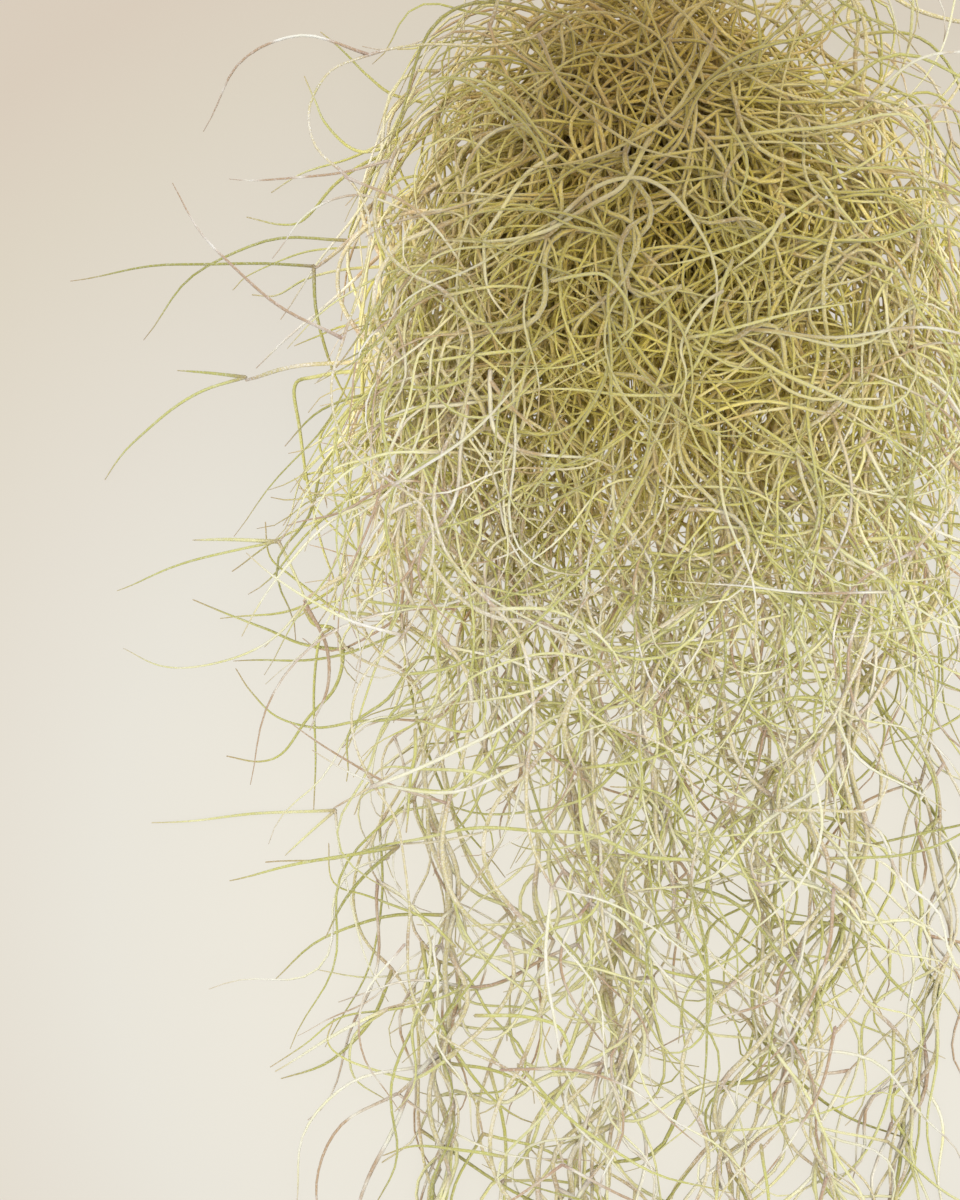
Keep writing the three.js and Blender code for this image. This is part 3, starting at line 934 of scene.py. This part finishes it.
class Thread(NamedTuple):
    """A round thread: the middle of each ring, its radius, and what its material goes by."""

    places: np.ndarray
    radii: np.ndarray
    sheath: np.ndarray
    stem: int
    tint: float
    twist: float
    golden: float = 1


def rings_through(rows, per_link):
    """Rows on a smooth curve through the given ones."""
    if per_link == 1:
        return rows
    before = 2 * rows[0] - rows[1]
    after = 2 * rows[-1] - rows[-2]
    ends = np.vstack([before, rows, after])
    t = np.arange(per_link)[:, None] / per_link
    curve = []
    for a, b, c, d in zip(ends, ends[1:], ends[2:], ends[3:]):
        bend = (2 * a - 5 * b + 4 * c - d) * t**2 + (3 * b - a - 3 * c + d) * t**3
        curve.append(b + 0.5 * ((c - a) * t + bend))
    return np.vstack([*curve, rows[-1:]])


def run_along(places):
    steps = np.linalg.norm(np.diff(places[:, :3], axis=0), axis=1)
    return np.concatenate([[0], np.cumsum(steps)])


def tapered(run, taper):
    lost, power = taper
    return 1 - lost * (run / run[-1]) ** power


def waved(places, run, amount, wave_length, phase=0.0):
    """Moves places sideways in plan, in a slight wave that fades out at the root."""
    along = np.gradient(places[:, :2], axis=0)
    along /= np.linalg.norm(along, axis=1)[:, None]
    wave = amount * np.sin(math.tau * (run / wave_length + phase)) * np.minimum(1, run / wave_length)
    moved = places.copy()
    moved[:, 0] -= wave * along[:, 1]
    moved[:, 1] += wave * along[:, 0]
    return moved


def fine_stem(rows, joints, draw, tint, wave, thickness):
    run = run_along(rows)
    sheath = np.zeros(len(rows))
    for joint in joints:
        sheath = np.maximum(sheath, 1 - np.abs(run - run[joint] + 1) / SHEATH_LENGTH)
    radii = FINE_STEM_RADIUS * thickness * between(draw, FINE_STEM_DRAW) + STEM_SWELL * sheath
    for away, (least, length) in ((run, STEM_ROOT), (run[-1] - run, STEM_TIP)):
        radii = radii * np.clip(least + away / length, 0, 1)
    places = waved(rows[:, :3], run, wave, LINK * LINKS_PER_JOINT)
    places[:, 2] = np.maximum(places[:, 2], radii)
    return Thread(places, radii, sheath, 1, tint, math.tau * draw())


def fine_leaf(rows, draw, tint, thickness=1.0):
    run = run_along(rows)
    base = np.clip(1 - run / LEAF_SHEATH_LENGTH, 0, 1)
    radii = FINE_LEAF_RADIUS * thickness * between(draw, FINE_LEAF_DRAW) * tapered(run, FINE_LEAF_TAPER)
    radii += LEAF_SWELL * base
    places = waved(rows[:, :3], run, *FINE_LEAF_WAVE, draw())
    places[:, 2] = np.maximum(places[:, 2], radii)
    return Thread(places, radii, LEAF_SHEATH * base, 0, tint, math.tau * draw())


def fine_shoot(seed, laid, thickness, stem_steps=1, leaf_steps=1):
    """Fine threads for a stem and its leaves."""
    draw = draws(seed)
    stem, leaves = laid
    tone = draw()
    joints = {joint * stem_steps for joint, _ in leaves}
    wave = STEM_WAVE if stem_steps > 1 else 0
    yield fine_stem(rings_through(stem, stem_steps), joints, draw, tone, wave, thickness)
    for _, leaf in leaves:
        tint = min(1, max(0, tone + TONE_SPREAD * (draw() - 0.5)))
        yield fine_leaf(rings_through(leaf, leaf_steps), draw, tint, thickness)


# Shade, painted into the threads' colours as painted light and shade. The light that reaches a thread goes
# by how much of the moss lies above it.

SHADE_CELL = 2
SHADE_TOP = 80
SHADE_SPREAD = 5  # cells to each side that a thread shades
SHADE_SHARE = 0.5  # how fast it darkens with what lies above


class Shade:
    """How much of the moss lies above any place, counted in cells and spread to the sides."""

    def __init__(self, threads):
        size = (2 * GRID_HALF_WIDTH, 2 * GRID_HALF_LENGTH, SHADE_TOP)
        grid = np.zeros([side // SHADE_CELL for side in size])
        for thread in threads:
            area = 2 * thread.radii * np.gradient(run_along(thread.places)) / SHADE_CELL**2
            np.add.at(grid, self.cells(thread.places), area)
        for axis in (0, 1):
            shifts = range(-SHADE_SPREAD, SHADE_SPREAD + 1)
            grid = sum(np.roll(grid, step, axis) for step in shifts) / len(shifts)
        self.above = np.cumsum(grid[:, :, ::-1], axis=2)[:, :, ::-1] - grid

    def cells(self, places):
        cells = ((places + (GRID_HALF_WIDTH, GRID_HALF_LENGTH, 0)) / SHADE_CELL).astype(int)
        return tuple(cells.T)

    def over(self, places):
        """0 with nothing above, and up to 1 under more and more of the moss."""
        return 1 - np.exp(-SHADE_SHARE * self.above[self.cells(places)])


# Meshes.

# Middle, reach and steepness of the head, which is tan and takes the golden painted light and shade, and of
# its crown, which is older and browner and painted darker as shade.
HEADED = ((3, 73), (52, 63), 2)
BROWNED_AND_SHADED = ((-7, 111), (34, 43), 1)
HUNG_Y = (15, -35)  # where the tail starts, and where all of it hangs free

CELLS_LONG = 24  # how much longer than high a thread's cell of the texture map is
CELL_FILLED = 0.86
CHANNEL = 0.55  # distance of a leaf's channel from its middle, as a share of the radius


def tube(thread, sides):
    """Corners of a thread with pointed ends. A leaf has a shallow channel along one side."""
    places, radii = thread.places, thread.radii
    along = np.gradient(places, axis=0)
    along /= np.linalg.norm(along, axis=1)[:, None]
    across = np.stack([along[:, 1], -along[:, 0], np.zeros(len(along))], axis=1)
    across /= np.linalg.norm(across, axis=1)[:, None]
    up = np.cross(across, along)
    turn = thread.twist + math.tau * np.arange(sides) / sides
    out = np.cos(turn)[None, :, None] * across[:, None] + np.sin(turn)[None, :, None] * up[:, None]
    if not thread.stem:
        out[:, 0] *= CHANNEL
    rings = places[:, None] + radii[:, None, None] * out
    tips = np.stack([places[0] - along[0] * radii[0], places[-1] + along[-1] * radii[-1]])
    return np.vstack([rings.reshape(-1, 3), tips])


def tube_faces(count, sides):
    ring = np.arange(count - 1)[:, None] * sides
    side = np.arange(sides)[None]
    beyond = (side + 1) % sides
    quads = np.stack([ring + side, ring + beyond, ring + sides + beyond, ring + sides + side], axis=-1)
    first = np.stack([np.full(sides, count * sides), beyond[0], side[0]], axis=-1)
    end = (count - 1) * sides
    last = np.stack([np.full(sides, count * sides + 1), end + side[0], end + beyond[0]], axis=-1)
    return quads.reshape(-1, 4), first, last


def tube_map(count, sides):
    """Texture places of the faces' corners, across a cell of size one."""
    u = (1 + np.arange(count)) / (count + 1)
    v = np.arange(sides + 1) / sides
    spots = np.stack(np.meshgrid(u, v, indexing="ij"), axis=-1)
    low, high = spots[:, :-1], spots[:, 1:]
    quads = np.stack([low[:-1], high[:-1], high[1:], low[1:]], axis=2)
    middle = (low[0] + high[0]) / 2
    first = np.stack([middle * (0, 1), high[0], low[0]], axis=1)
    last = np.stack([middle * (0, 1) + (1, 0), low[-1], high[-1]], axis=1)
    return [spots.reshape(-1, 2) for spots in (quads, first, last)]


def share_of(region, places):
    """1 in the region's middle, and fading to 0 beyond its reach."""
    middle, reach, steepness = region
    away = (((places[:, :2] - middle) / reach) ** 2).sum(1)
    return np.exp(-(away**steepness))


def ring_values(thread, shade):
    """What the material reads, for each ring of a thread."""
    run = run_along(thread.places)
    hung = (HUNG_Y[0] - thread.places[:, 1]) / (HUNG_Y[0] - HUNG_Y[1])
    return {
        "stem": np.full(len(run), thread.stem),
        "tint": np.full(len(run), thread.tint),
        "sheath": thread.sheath,
        "along": run / run[-1],
        # how much moss lies above a ring, which its painted light and shade go by
        "shaded": shade.over(thread.places),
        "headed": thread.golden * share_of(HEADED, thread.places),
        # how much of the crown's browning and painted shade a ring takes
        "browned": share_of(BROWNED_AND_SHADED, thread.places),
        "hung": np.clip(hung, 0, 1),
    }


def threads_mesh(name, threads, sides, shift, shade):
    """One mesh of all the threads, with the values that the material reads at each corner."""
    columns = max(1, round(math.sqrt(len(threads) / CELLS_LONG)))
    rows = math.ceil(len(threads) / columns)
    corners, loops, sizes, maps, values = [], [], [], [], {}
    start = 0
    for number, thread in enumerate(threads):
        cell = (number % columns, number // columns)
        count = len(thread.places)
        for faces, spots in zip(tube_faces(count, sides), tube_map(count, sides)):
            loops.append((faces + start).ravel())
            sizes.append(np.full(len(faces), faces.shape[1]))
            inside = (1 - CELL_FILLED) / 2 + CELL_FILLED * spots
            maps.append((cell + inside) / (columns, rows))
        corners.append(tube(thread, sides))
        start += len(corners[-1])
        for value, rings in ring_values(thread, shade).items():
            spread = np.concatenate([np.repeat(rings, sides), rings[[0, -1]]])
            values.setdefault(value, []).append(spread)
    corners = np.vstack(corners)
    corners[:, :2] += shift
    return mesh_from(name, corners * MM, loops, sizes, maps, values)


def mesh_from(name, corners, loops, sizes, maps, values):
    """A mesh from lists of arrays: corners' numbers face by face, corners to a face, map and values."""
    loops, sizes, maps = np.concatenate(loops), np.concatenate(sizes), np.vstack(maps)
    mesh = bpy.data.meshes.new(name)
    mesh.vertices.add(len(corners))
    mesh.vertices.foreach_set("co", corners.ravel())
    mesh.loops.add(len(loops))
    mesh.loops.foreach_set("vertex_index", loops)
    mesh.polygons.add(len(sizes))
    mesh.polygons.foreach_set("loop_start", np.cumsum(sizes) - sizes)
    mesh.polygons.foreach_set("loop_total", sizes)
    mesh.update(calc_edges=True)
    mesh.uv_layers.new(name="OFBake").data.foreach_set("uv", maps.ravel())
    for value, spread in values.items():
        mesh.attributes.new(value, "FLOAT", "POINT").data.foreach_set("value", np.concatenate(spread))
    mesh.shade_smooth()
    mesh.validate()
    return mesh


def add_piece(name, mesh, material, slot, node=None):
    piece = bpy.data.objects.new(name, mesh)
    bpy.context.scene.collection.objects.link(piece)
    mesh.materials.append(material)
    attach(piece, "root")
    if node:
        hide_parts(node)


# Materials.


def linear(red, green, blue):
    """A colour for a shader, from the usual screen values up to 255."""

    def channel(value):
        value /= 255
        return value / 12.92 if value <= 0.04045 else ((value + 0.055) / 1.055) ** 2.4

    return channel(red), channel(green), channel(blue), 1


class Shader:
    """A material under construction. Each method adds one node and gives back its output."""

    def __init__(self, name):
        self.material = bpy.data.materials.new(name)
        self.material.use_nodes = True
        self.tree = self.material.node_tree
        self.surface = self.tree.nodes["Principled BSDF"]

    def feed(self, node, inputs):
        """Gives a node's inputs, by name or number, a value or the output of another node."""
        for key, value in inputs.items():
            if isinstance(value, bpy.types.NodeSocket):
                self.tree.links.new(value, node.inputs[key])
            else:
                node.inputs[key].default_value = value

    def add(self, kind, inputs, **settings):
        node = self.tree.nodes.new(kind)
        for key, value in settings.items():
            setattr(node, key, value)
        self.feed(node, inputs)
        return node

    def attribute(self, name):
        return self.add("ShaderNodeAttribute", {}, attribute_name=name).outputs["Fac"]

    def place(self):
        return self.add("ShaderNodeTexCoord", {}).outputs["Object"]

    def math(self, operation, *values):
        return self.add("ShaderNodeMath", dict(enumerate(values)), operation=operation).outputs[0]

    def scaled(self, value, by, plus=0.0):
        return self.math("MULTIPLY_ADD", value, by, plus)

    def noise(self, scale, detail=2.0):
        inputs = {"Vector": self.place(), "Scale": scale, "Detail": detail}
        return self.add("ShaderNodeTexNoise", inputs).outputs["Fac"]

    def ramp(self, value, *stops):
        """A colour for each value: stops are (value, colour)."""
        node = self.add("ShaderNodeValToRGB", {"Fac": value})
        elements = node.color_ramp.elements
        for element, (at, colour) in zip(elements, (stops[0], stops[-1])):
            element.position, element.color = at, colour
        for at, colour in stops[1:-1]:
            elements.new(at).color = colour
        return node.outputs["Color"]

    def between(self, value, low, high):
        """0 below low, 1 above high, and a straight rise between them."""
        inputs = {"Value": value, "From Min": low, "From Max": high}
        return self.add("ShaderNodeMapRange", inputs).outputs["Result"]

    def mixed(self, share, one, other, blend="MIX"):
        """Colours go in at 6 and 7 of the mixing node and come out at 2."""
        node = self.add("ShaderNodeMix", {0: share, 6: one, 7: other}, data_type="RGBA", blend_type=blend)
        return node.outputs[2]

    def bump(self, height, strength, distance):
        inputs = {"Height": height, "Strength": strength, "Distance": distance}
        self.feed(self.surface, {"Normal": self.add("ShaderNodeBump", inputs).outputs["Normal"]})


# Leaves from olive through green to silver, and the driest brown.
LEAF_COLOURS = (
    (0.0, linear(130, 127, 54)), (0.38, linear(163, 161, 84)), (0.68, linear(190, 186, 132)),
    (0.9, linear(194, 190, 167)), (1.0, linear(150, 126, 92)),
)
STEM_COLOURS = ((0.0, linear(150, 144, 80)), (0.5, linear(176, 165, 118)), (1.0, linear(188, 182, 159)))
TAN = linear(178, 162, 88)
SHEATH = linear(138, 110, 92)
TIP = linear(150, 124, 88)
SCALES = linear(212, 209, 194)
SPECKS = linear(122, 100, 80)
TAN_SHARE = 0.55  # in the head
SHEATH_SHARE = 0.55
SHEATH_FROM = (0.1, 0.7)
TIP_FROM = (0.8, 1)  # share of its length from where a leaf's tip browns, and where all of it is brown
SCALY = 0.25  # how much the scales and specks show on a leaf, and how much more on a stem
# Patches to a metre.
LEAF_PATCHES = 90
STEM_PATCHES = 140
SCALE_PATCHES = 2600
SPECK_PATCHES = 3300
# How much tone a patch adds to the leaf's or stem's: its noise times the first, plus the second.
LEAF_TONES = (0.7, -0.35)
STEM_TONES = (1.4, -0.2)
# Noise from where a scale or a speck starts to show, and where it shows in full.
SCALES_FROM = (0.48, 0.64)
SPECKS_FROM = (0.44, 0.34)
SCALE_HEIGHT = 0.00012
MOSS_SURFACE = {
    "Roughness": 0.8, "Specular IOR Level": 0.25, "Sheen Weight": 0.2, "Sheen Roughness": 0.5,
}
# Painted light and shade: what a colour is multiplied by, from the bunch's face, painted darker, to deep in
# it, painted lighter, in the tail and in the crown.
PALE_PAINTED_LIGHT_AND_SHADE = (
    (0.0, (0.74, 0.77, 0.98, 1)), (0.25, (1.10, 1.09, 1.24, 1)), (0.6, (1.72, 1.67, 1.68, 1)),
    (1.0, (1.76, 1.70, 1.90, 1)),
)
GOLDEN_PAINTED_LIGHT_AND_SHADE = (
    (0.0, (0.55, 0.56, 0.52, 1)), (0.3, (0.87, 0.83, 0.51, 1)), (0.6, (1.22, 1.12, 0.51, 1)),
    (1.0, (1.38, 1.26, 0.62, 1)),
)
# Painted shade of the tail, mixed in where it hangs free, which flattens its painted light and shade.
HUNG_SHADE = (0.76, 0.78, 0.84, 1)
HUNG_SHARE = 0.45
# The crown's colour is multiplied browner with age and darker as painted shade.
BROWNING_AND_PAINTED_SHADE = (0.59, 0.50, 0.31, 1)
# The floor's colours, a painted pool of light that it glows with, by distance from the middle of its light
# as a share of FLOOR_REACH.
FLOOR_PAINTED_LIGHT = (
    (0.20, linear(236, 231, 218)), (0.45, linear(228, 224, 213)), (0.55, linear(224, 218, 206)),
    (0.74, linear(216, 207, 190)), (0.85, linear(212, 199, 182)),
)
FLOOR_PAINTED_LIGHT_AT = (-0.004, -0.024, 0)
FLOOR_REACH = 0.25
# The floor glows with its colours and takes little lamp light, so that shadows hardly show on it: painted
# light.
FLOOR_DARKENING = (0.03, 0.03, 0.03, 1)
FLOOR_SURFACE = {"Emission Strength": 0.92, "Roughness": 0.9}
# The core's dark olive-brown is the moss's own brown, darkened as painted shade of the head's dense inside.
CORE_COLOURS = ((0.35, linear(86, 68, 28)), (0.65, linear(140, 116, 58)))
CORE_PATCHES = 700
CORE_GRAINS = 500
CORE_GRAIN_HEIGHT = 0.001
CORE_SURFACE = {"Roughness": 0.95}


def leaf_colour(shader, tip_share):
    patches = shader.scaled(shader.noise(LEAF_PATCHES), *LEAF_TONES)
    leaf = shader.ramp(shader.math("ADD", shader.attribute("tint"), patches), *LEAF_COLOURS)
    tip = shader.between(shader.attribute("along"), *TIP_FROM)
    return shader.mixed(shader.scaled(tip, tip_share), leaf, TIP)


def stem_colour(shader):
    tone = shader.scaled(shader.noise(STEM_PATCHES, 1.0), *STEM_TONES)
    return shader.ramp(tone, *STEM_COLOURS)


def moss_material(name, tip_share):
    """Leaves from olive to silver, paler stems, brown sheaths and tips, pale scales and dark specks, with
    painted light and shade by depth and a browner crown painted darker.
    """
    shader = Shader(name)
    headed, is_stem = shader.attribute("headed"), shader.attribute("stem")
    colour = shader.mixed(is_stem, leaf_colour(shader, tip_share), stem_colour(shader))
    colour = shader.mixed(shader.scaled(headed, TAN_SHARE), colour, TAN)
    sheath = shader.between(shader.attribute("sheath"), *SHEATH_FROM)
    colour = shader.mixed(shader.scaled(sheath, SHEATH_SHARE), colour, SHEATH)

    scaly = shader.scaled(is_stem, SCALY, SCALY)
    scales = shader.between(shader.noise(SCALE_PATCHES, 3.0), *SCALES_FROM)
    colour = shader.mixed(shader.math("MULTIPLY", scales, scaly), colour, SCALES)
    specks = shader.between(shader.noise(SPECK_PATCHES), *SPECKS_FROM)
    colour = shader.mixed(shader.math("MULTIPLY", specks, scaly), colour, SPECKS)

    # Painted light and shade: the colour is multiplied darker at the bunch's face and lighter deep in it,
    # by how much moss lies above, and flatter where the tail hangs free.
    shaded = shader.attribute("shaded")
    painted_light_and_shade = shader.mixed(headed, shader.ramp(shaded, *PALE_PAINTED_LIGHT_AND_SHADE), shader.ramp(shaded, *GOLDEN_PAINTED_LIGHT_AND_SHADE))
    painted_light_and_shade = shader.mixed(shader.scaled(shader.attribute("hung"), HUNG_SHARE), painted_light_and_shade, HUNG_SHADE)
    colour = shader.mixed(1.0, colour, painted_light_and_shade, "MULTIPLY")
    # The crown: browner with age and darker with painted shade.
    colour = shader.mixed(shader.attribute("browned"), colour, BROWNING_AND_PAINTED_SHADE, "MULTIPLY")
    shader.feed(shader.surface, {"Base Color": colour, **MOSS_SURFACE})
    shader.bump(scales, 0.5, SCALE_HEIGHT)
    return shader.material


def core_material():
    shader = Shader("moss_core")
    colour = shader.ramp(shader.noise(CORE_PATCHES, 4.0), *CORE_COLOURS)
    shader.feed(shader.surface, {"Base Color": colour, **CORE_SURFACE})
    shader.bump(shader.noise(CORE_GRAINS, 5.0), 1.0, CORE_GRAIN_HEIGHT)
    return shader.material


def floor_material():
    shader = Shader("floor")
    places = {0: shader.place(), 1: FLOOR_PAINTED_LIGHT_AT}
    away = shader.add("ShaderNodeVectorMath", places, operation="DISTANCE").outputs["Value"]
    # Painted light: a pool of glow, lightest at its middle, with a near-black base colour under it.
    colour = shader.ramp(shader.between(away, 0, FLOOR_REACH), *FLOOR_PAINTED_LIGHT)
    dark = shader.mixed(1.0, colour, FLOOR_DARKENING, "MULTIPLY")
    shader.feed(shader.surface, {"Base Color": dark, "Emission Color": colour, **FLOOR_SURFACE})
    return shader.material


# Core of the head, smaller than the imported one, so that the threads lie over it.

CORE_SHRINK = 0.86
CORE_FOOT = 0.2  # height at which it ends, above the floor
CORE_RIDGES = ((0.045, 9, 3), (0.02, 23, -8))  # share that they rise, how many about it, and slant
CORE_SIDES = 72
CORE_BANDS = 36


def core_mesh(shift):
    bands = np.linspace(-math.pi / 2, math.pi / 2, CORE_BANDS + 1)
    sides = math.tau * np.arange(CORE_SIDES) / CORE_SIDES
    up, turn = np.meshgrid(np.sin(bands), sides, indexing="ij")
    flat = np.sqrt(np.clip(1 - up**2, 0, 1))
    out = [rise * np.sin(about * turn + climb * up) for rise, about, climb in CORE_RIDGES]
    ridge = CORE_SHRINK * (1 + sum(out))
    x = CORE_HALF_WIDTH * ridge * flat * np.cos(turn) + shift[0]
    y = CORE_Y + CORE_HALF_LENGTH * ridge * flat * np.sin(turn) + shift[1]
    z = np.maximum(CORE_FOOT, CORE_SHRINK * CORE_HEIGHT * (CORE_BELLY + (1 - CORE_BELLY) * up))
    places = np.stack([x, y, z], -1) * MM
    corners = np.vstack([places[1:-1].reshape(-1, 3), places[0, :1], places[-1, :1]])
    faces = [face for kind in tube_faces(CORE_BANDS - 1, CORE_SIDES) for face in kind.tolist()]
    mesh = bpy.data.meshes.new("core")
    mesh.from_pydata(corners.tolist(), [], faces)
    mesh.shade_smooth()
    return mesh


# Stage.

# In metres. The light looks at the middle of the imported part.
LIGHT_PLACE = (0.6, 0.5, 1.3)
LIGHT_SIZE = 1.2
LIGHT_POWER = 11
LIGHT_COLOUR = (1.0, 0.98, 0.95)
WORLD_COLOUR = (1.0, 0.98, 0.94, 1)
WORLD_STRENGTH = 2.3

VIEW_X = -36  # middle of the picture
VIEW_HEIGHT = 240  # length of the bunch that the picture shows, top to bottom
VIEW_FROM = 900  # camera to the middle of the bunch's height
VIEW_LEVEL = 30
SENSOR = 36


def add_floor():
    bpy.ops.mesh.primitive_plane_add(size=6)
    floor = bpy.context.object
    floor.name = "floor"
    floor.data.materials.append(floor_material())


def add_light():
    light = bpy.data.lights.new("soft_light", "AREA")
    light.size = LIGHT_SIZE
    light.energy = LIGHT_POWER
    light.color = LIGHT_COLOUR
    lamp = bpy.data.objects.new("soft_light", light)
    lamp.location = LIGHT_PLACE
    lamp.rotation_euler = (-Vector(LIGHT_PLACE)).to_track_quat("-Z", "Y").to_euler()
    bpy.context.scene.collection.objects.link(lamp)


def add_world():
    world = bpy.data.worlds.new("studio")
    world.use_nodes = True
    background = world.node_tree.nodes["Background"]
    background.inputs["Color"].default_value = WORLD_COLOUR
    background.inputs["Strength"].default_value = WORLD_STRENGTH
    bpy.context.scene.world = world
    bpy.context.scene.view_settings.view_transform = "Standard"


def add_camera(shift):
    camera = bpy.data.cameras.new("camera")
    camera.sensor_width = SENSOR
    camera.lens = SENSOR * VIEW_FROM / VIEW_HEIGHT
    placed = bpy.data.objects.new("camera", camera)
    middle = (VIEW_X + shift[0], shift[1], VIEW_LEVEL + VIEW_FROM)
    placed.location = Vector(middle) * MM
    bpy.context.scene.collection.objects.link(placed)
    bpy.context.scene.camera = placed


# The bunch.


# Name of each slot's material, and how much the tips of its leaves are browned.
MOSS_LOOKS = {"moss_stem": ("moss", 0.6), "moss_head": ("head_moss", 0.8)}
PACKED_THICKNESS = 1.1
# Name, shoots, how many, thickness and slot of what fills the bunch.
ADDED_KINDS = (
    ("nape_moss", nape_shoot, NAPE_STEMS, 1.1, "moss_head"),
    ("crown_moss", crown_shoot, CROWN_STEMS, 1.18, "moss_head"),
    ("curtain_moss", curtain_shoot, CURTAIN_STEMS, 1.15, "moss_stem"),
    ("tail_moss", tail_shoot, TAIL_STEMS, 1.4, "moss_stem"),
)


def packed_pieces(shoots):
    for number, (node, laid) in enumerate(shoots.items()):
        threads = [
            thread for i, shoot in enumerate(laid)
            for thread in fine_shoot(FINE_SEED + MOST_SHOOTS * number + i, shoot, PACKED_THICKNESS,
                                     FINE_STEPS, FINE_LEAF_STEPS)
        ]
        if node == "head":
            threads += tangle_threads()
        yield f"fine_{node}", threads, SIDES, "moss_head" if node == "head" else "moss_stem", node


def added_pieces(name, shoot_at, count, thickness, slot):
    for first in range(0, count, STEMS_TO_A_PIECE):
        members = range(first, min(count, first + STEMS_TO_A_PIECE))
        threads = [
            thread for i in members for thread in fine_shoot(ADDED_FINE_SEED + i, shoot_at(i), thickness)
        ]
        yield f"{name}_{first // STEMS_TO_A_PIECE + 1:02d}", threads, ADDED_SIDES, slot, None


def add_moss(shoots, shift):
    arcs = [
        thread for number, kind in enumerate(ARC_KINDS)
        for thread in arc_threads(ARC_SEED + number, *kind)
    ]
    pieces = [
        *packed_pieces(shoots),
        *(piece for kind in ADDED_KINDS for piece in added_pieces(*kind)),
        ("face_moss", arcs, SIDES, "moss_head", None),
        ("wisp_moss", [*wisp_threads()], SIDES, "moss_stem", None),
    ]
    materials = {slot: moss_material(*looks) for slot, looks in MOSS_LOOKS.items()}
    shade = Shade([thread for _, threads, *_ in pieces for thread in threads])
    for name, threads, sides, slot, node in pieces:
        mesh = threads_mesh(name, threads, sides, shift, shade)
        add_piece(name, mesh, materials[slot], slot, node)


shoots = packed_shoots()
shift = shift_of(shoots)
add_moss(shoots, shift)
add_piece("core", core_mesh(shift), core_material(), "moss_head", "head")

add_floor()
add_world()
add_light()
add_camera(shift)
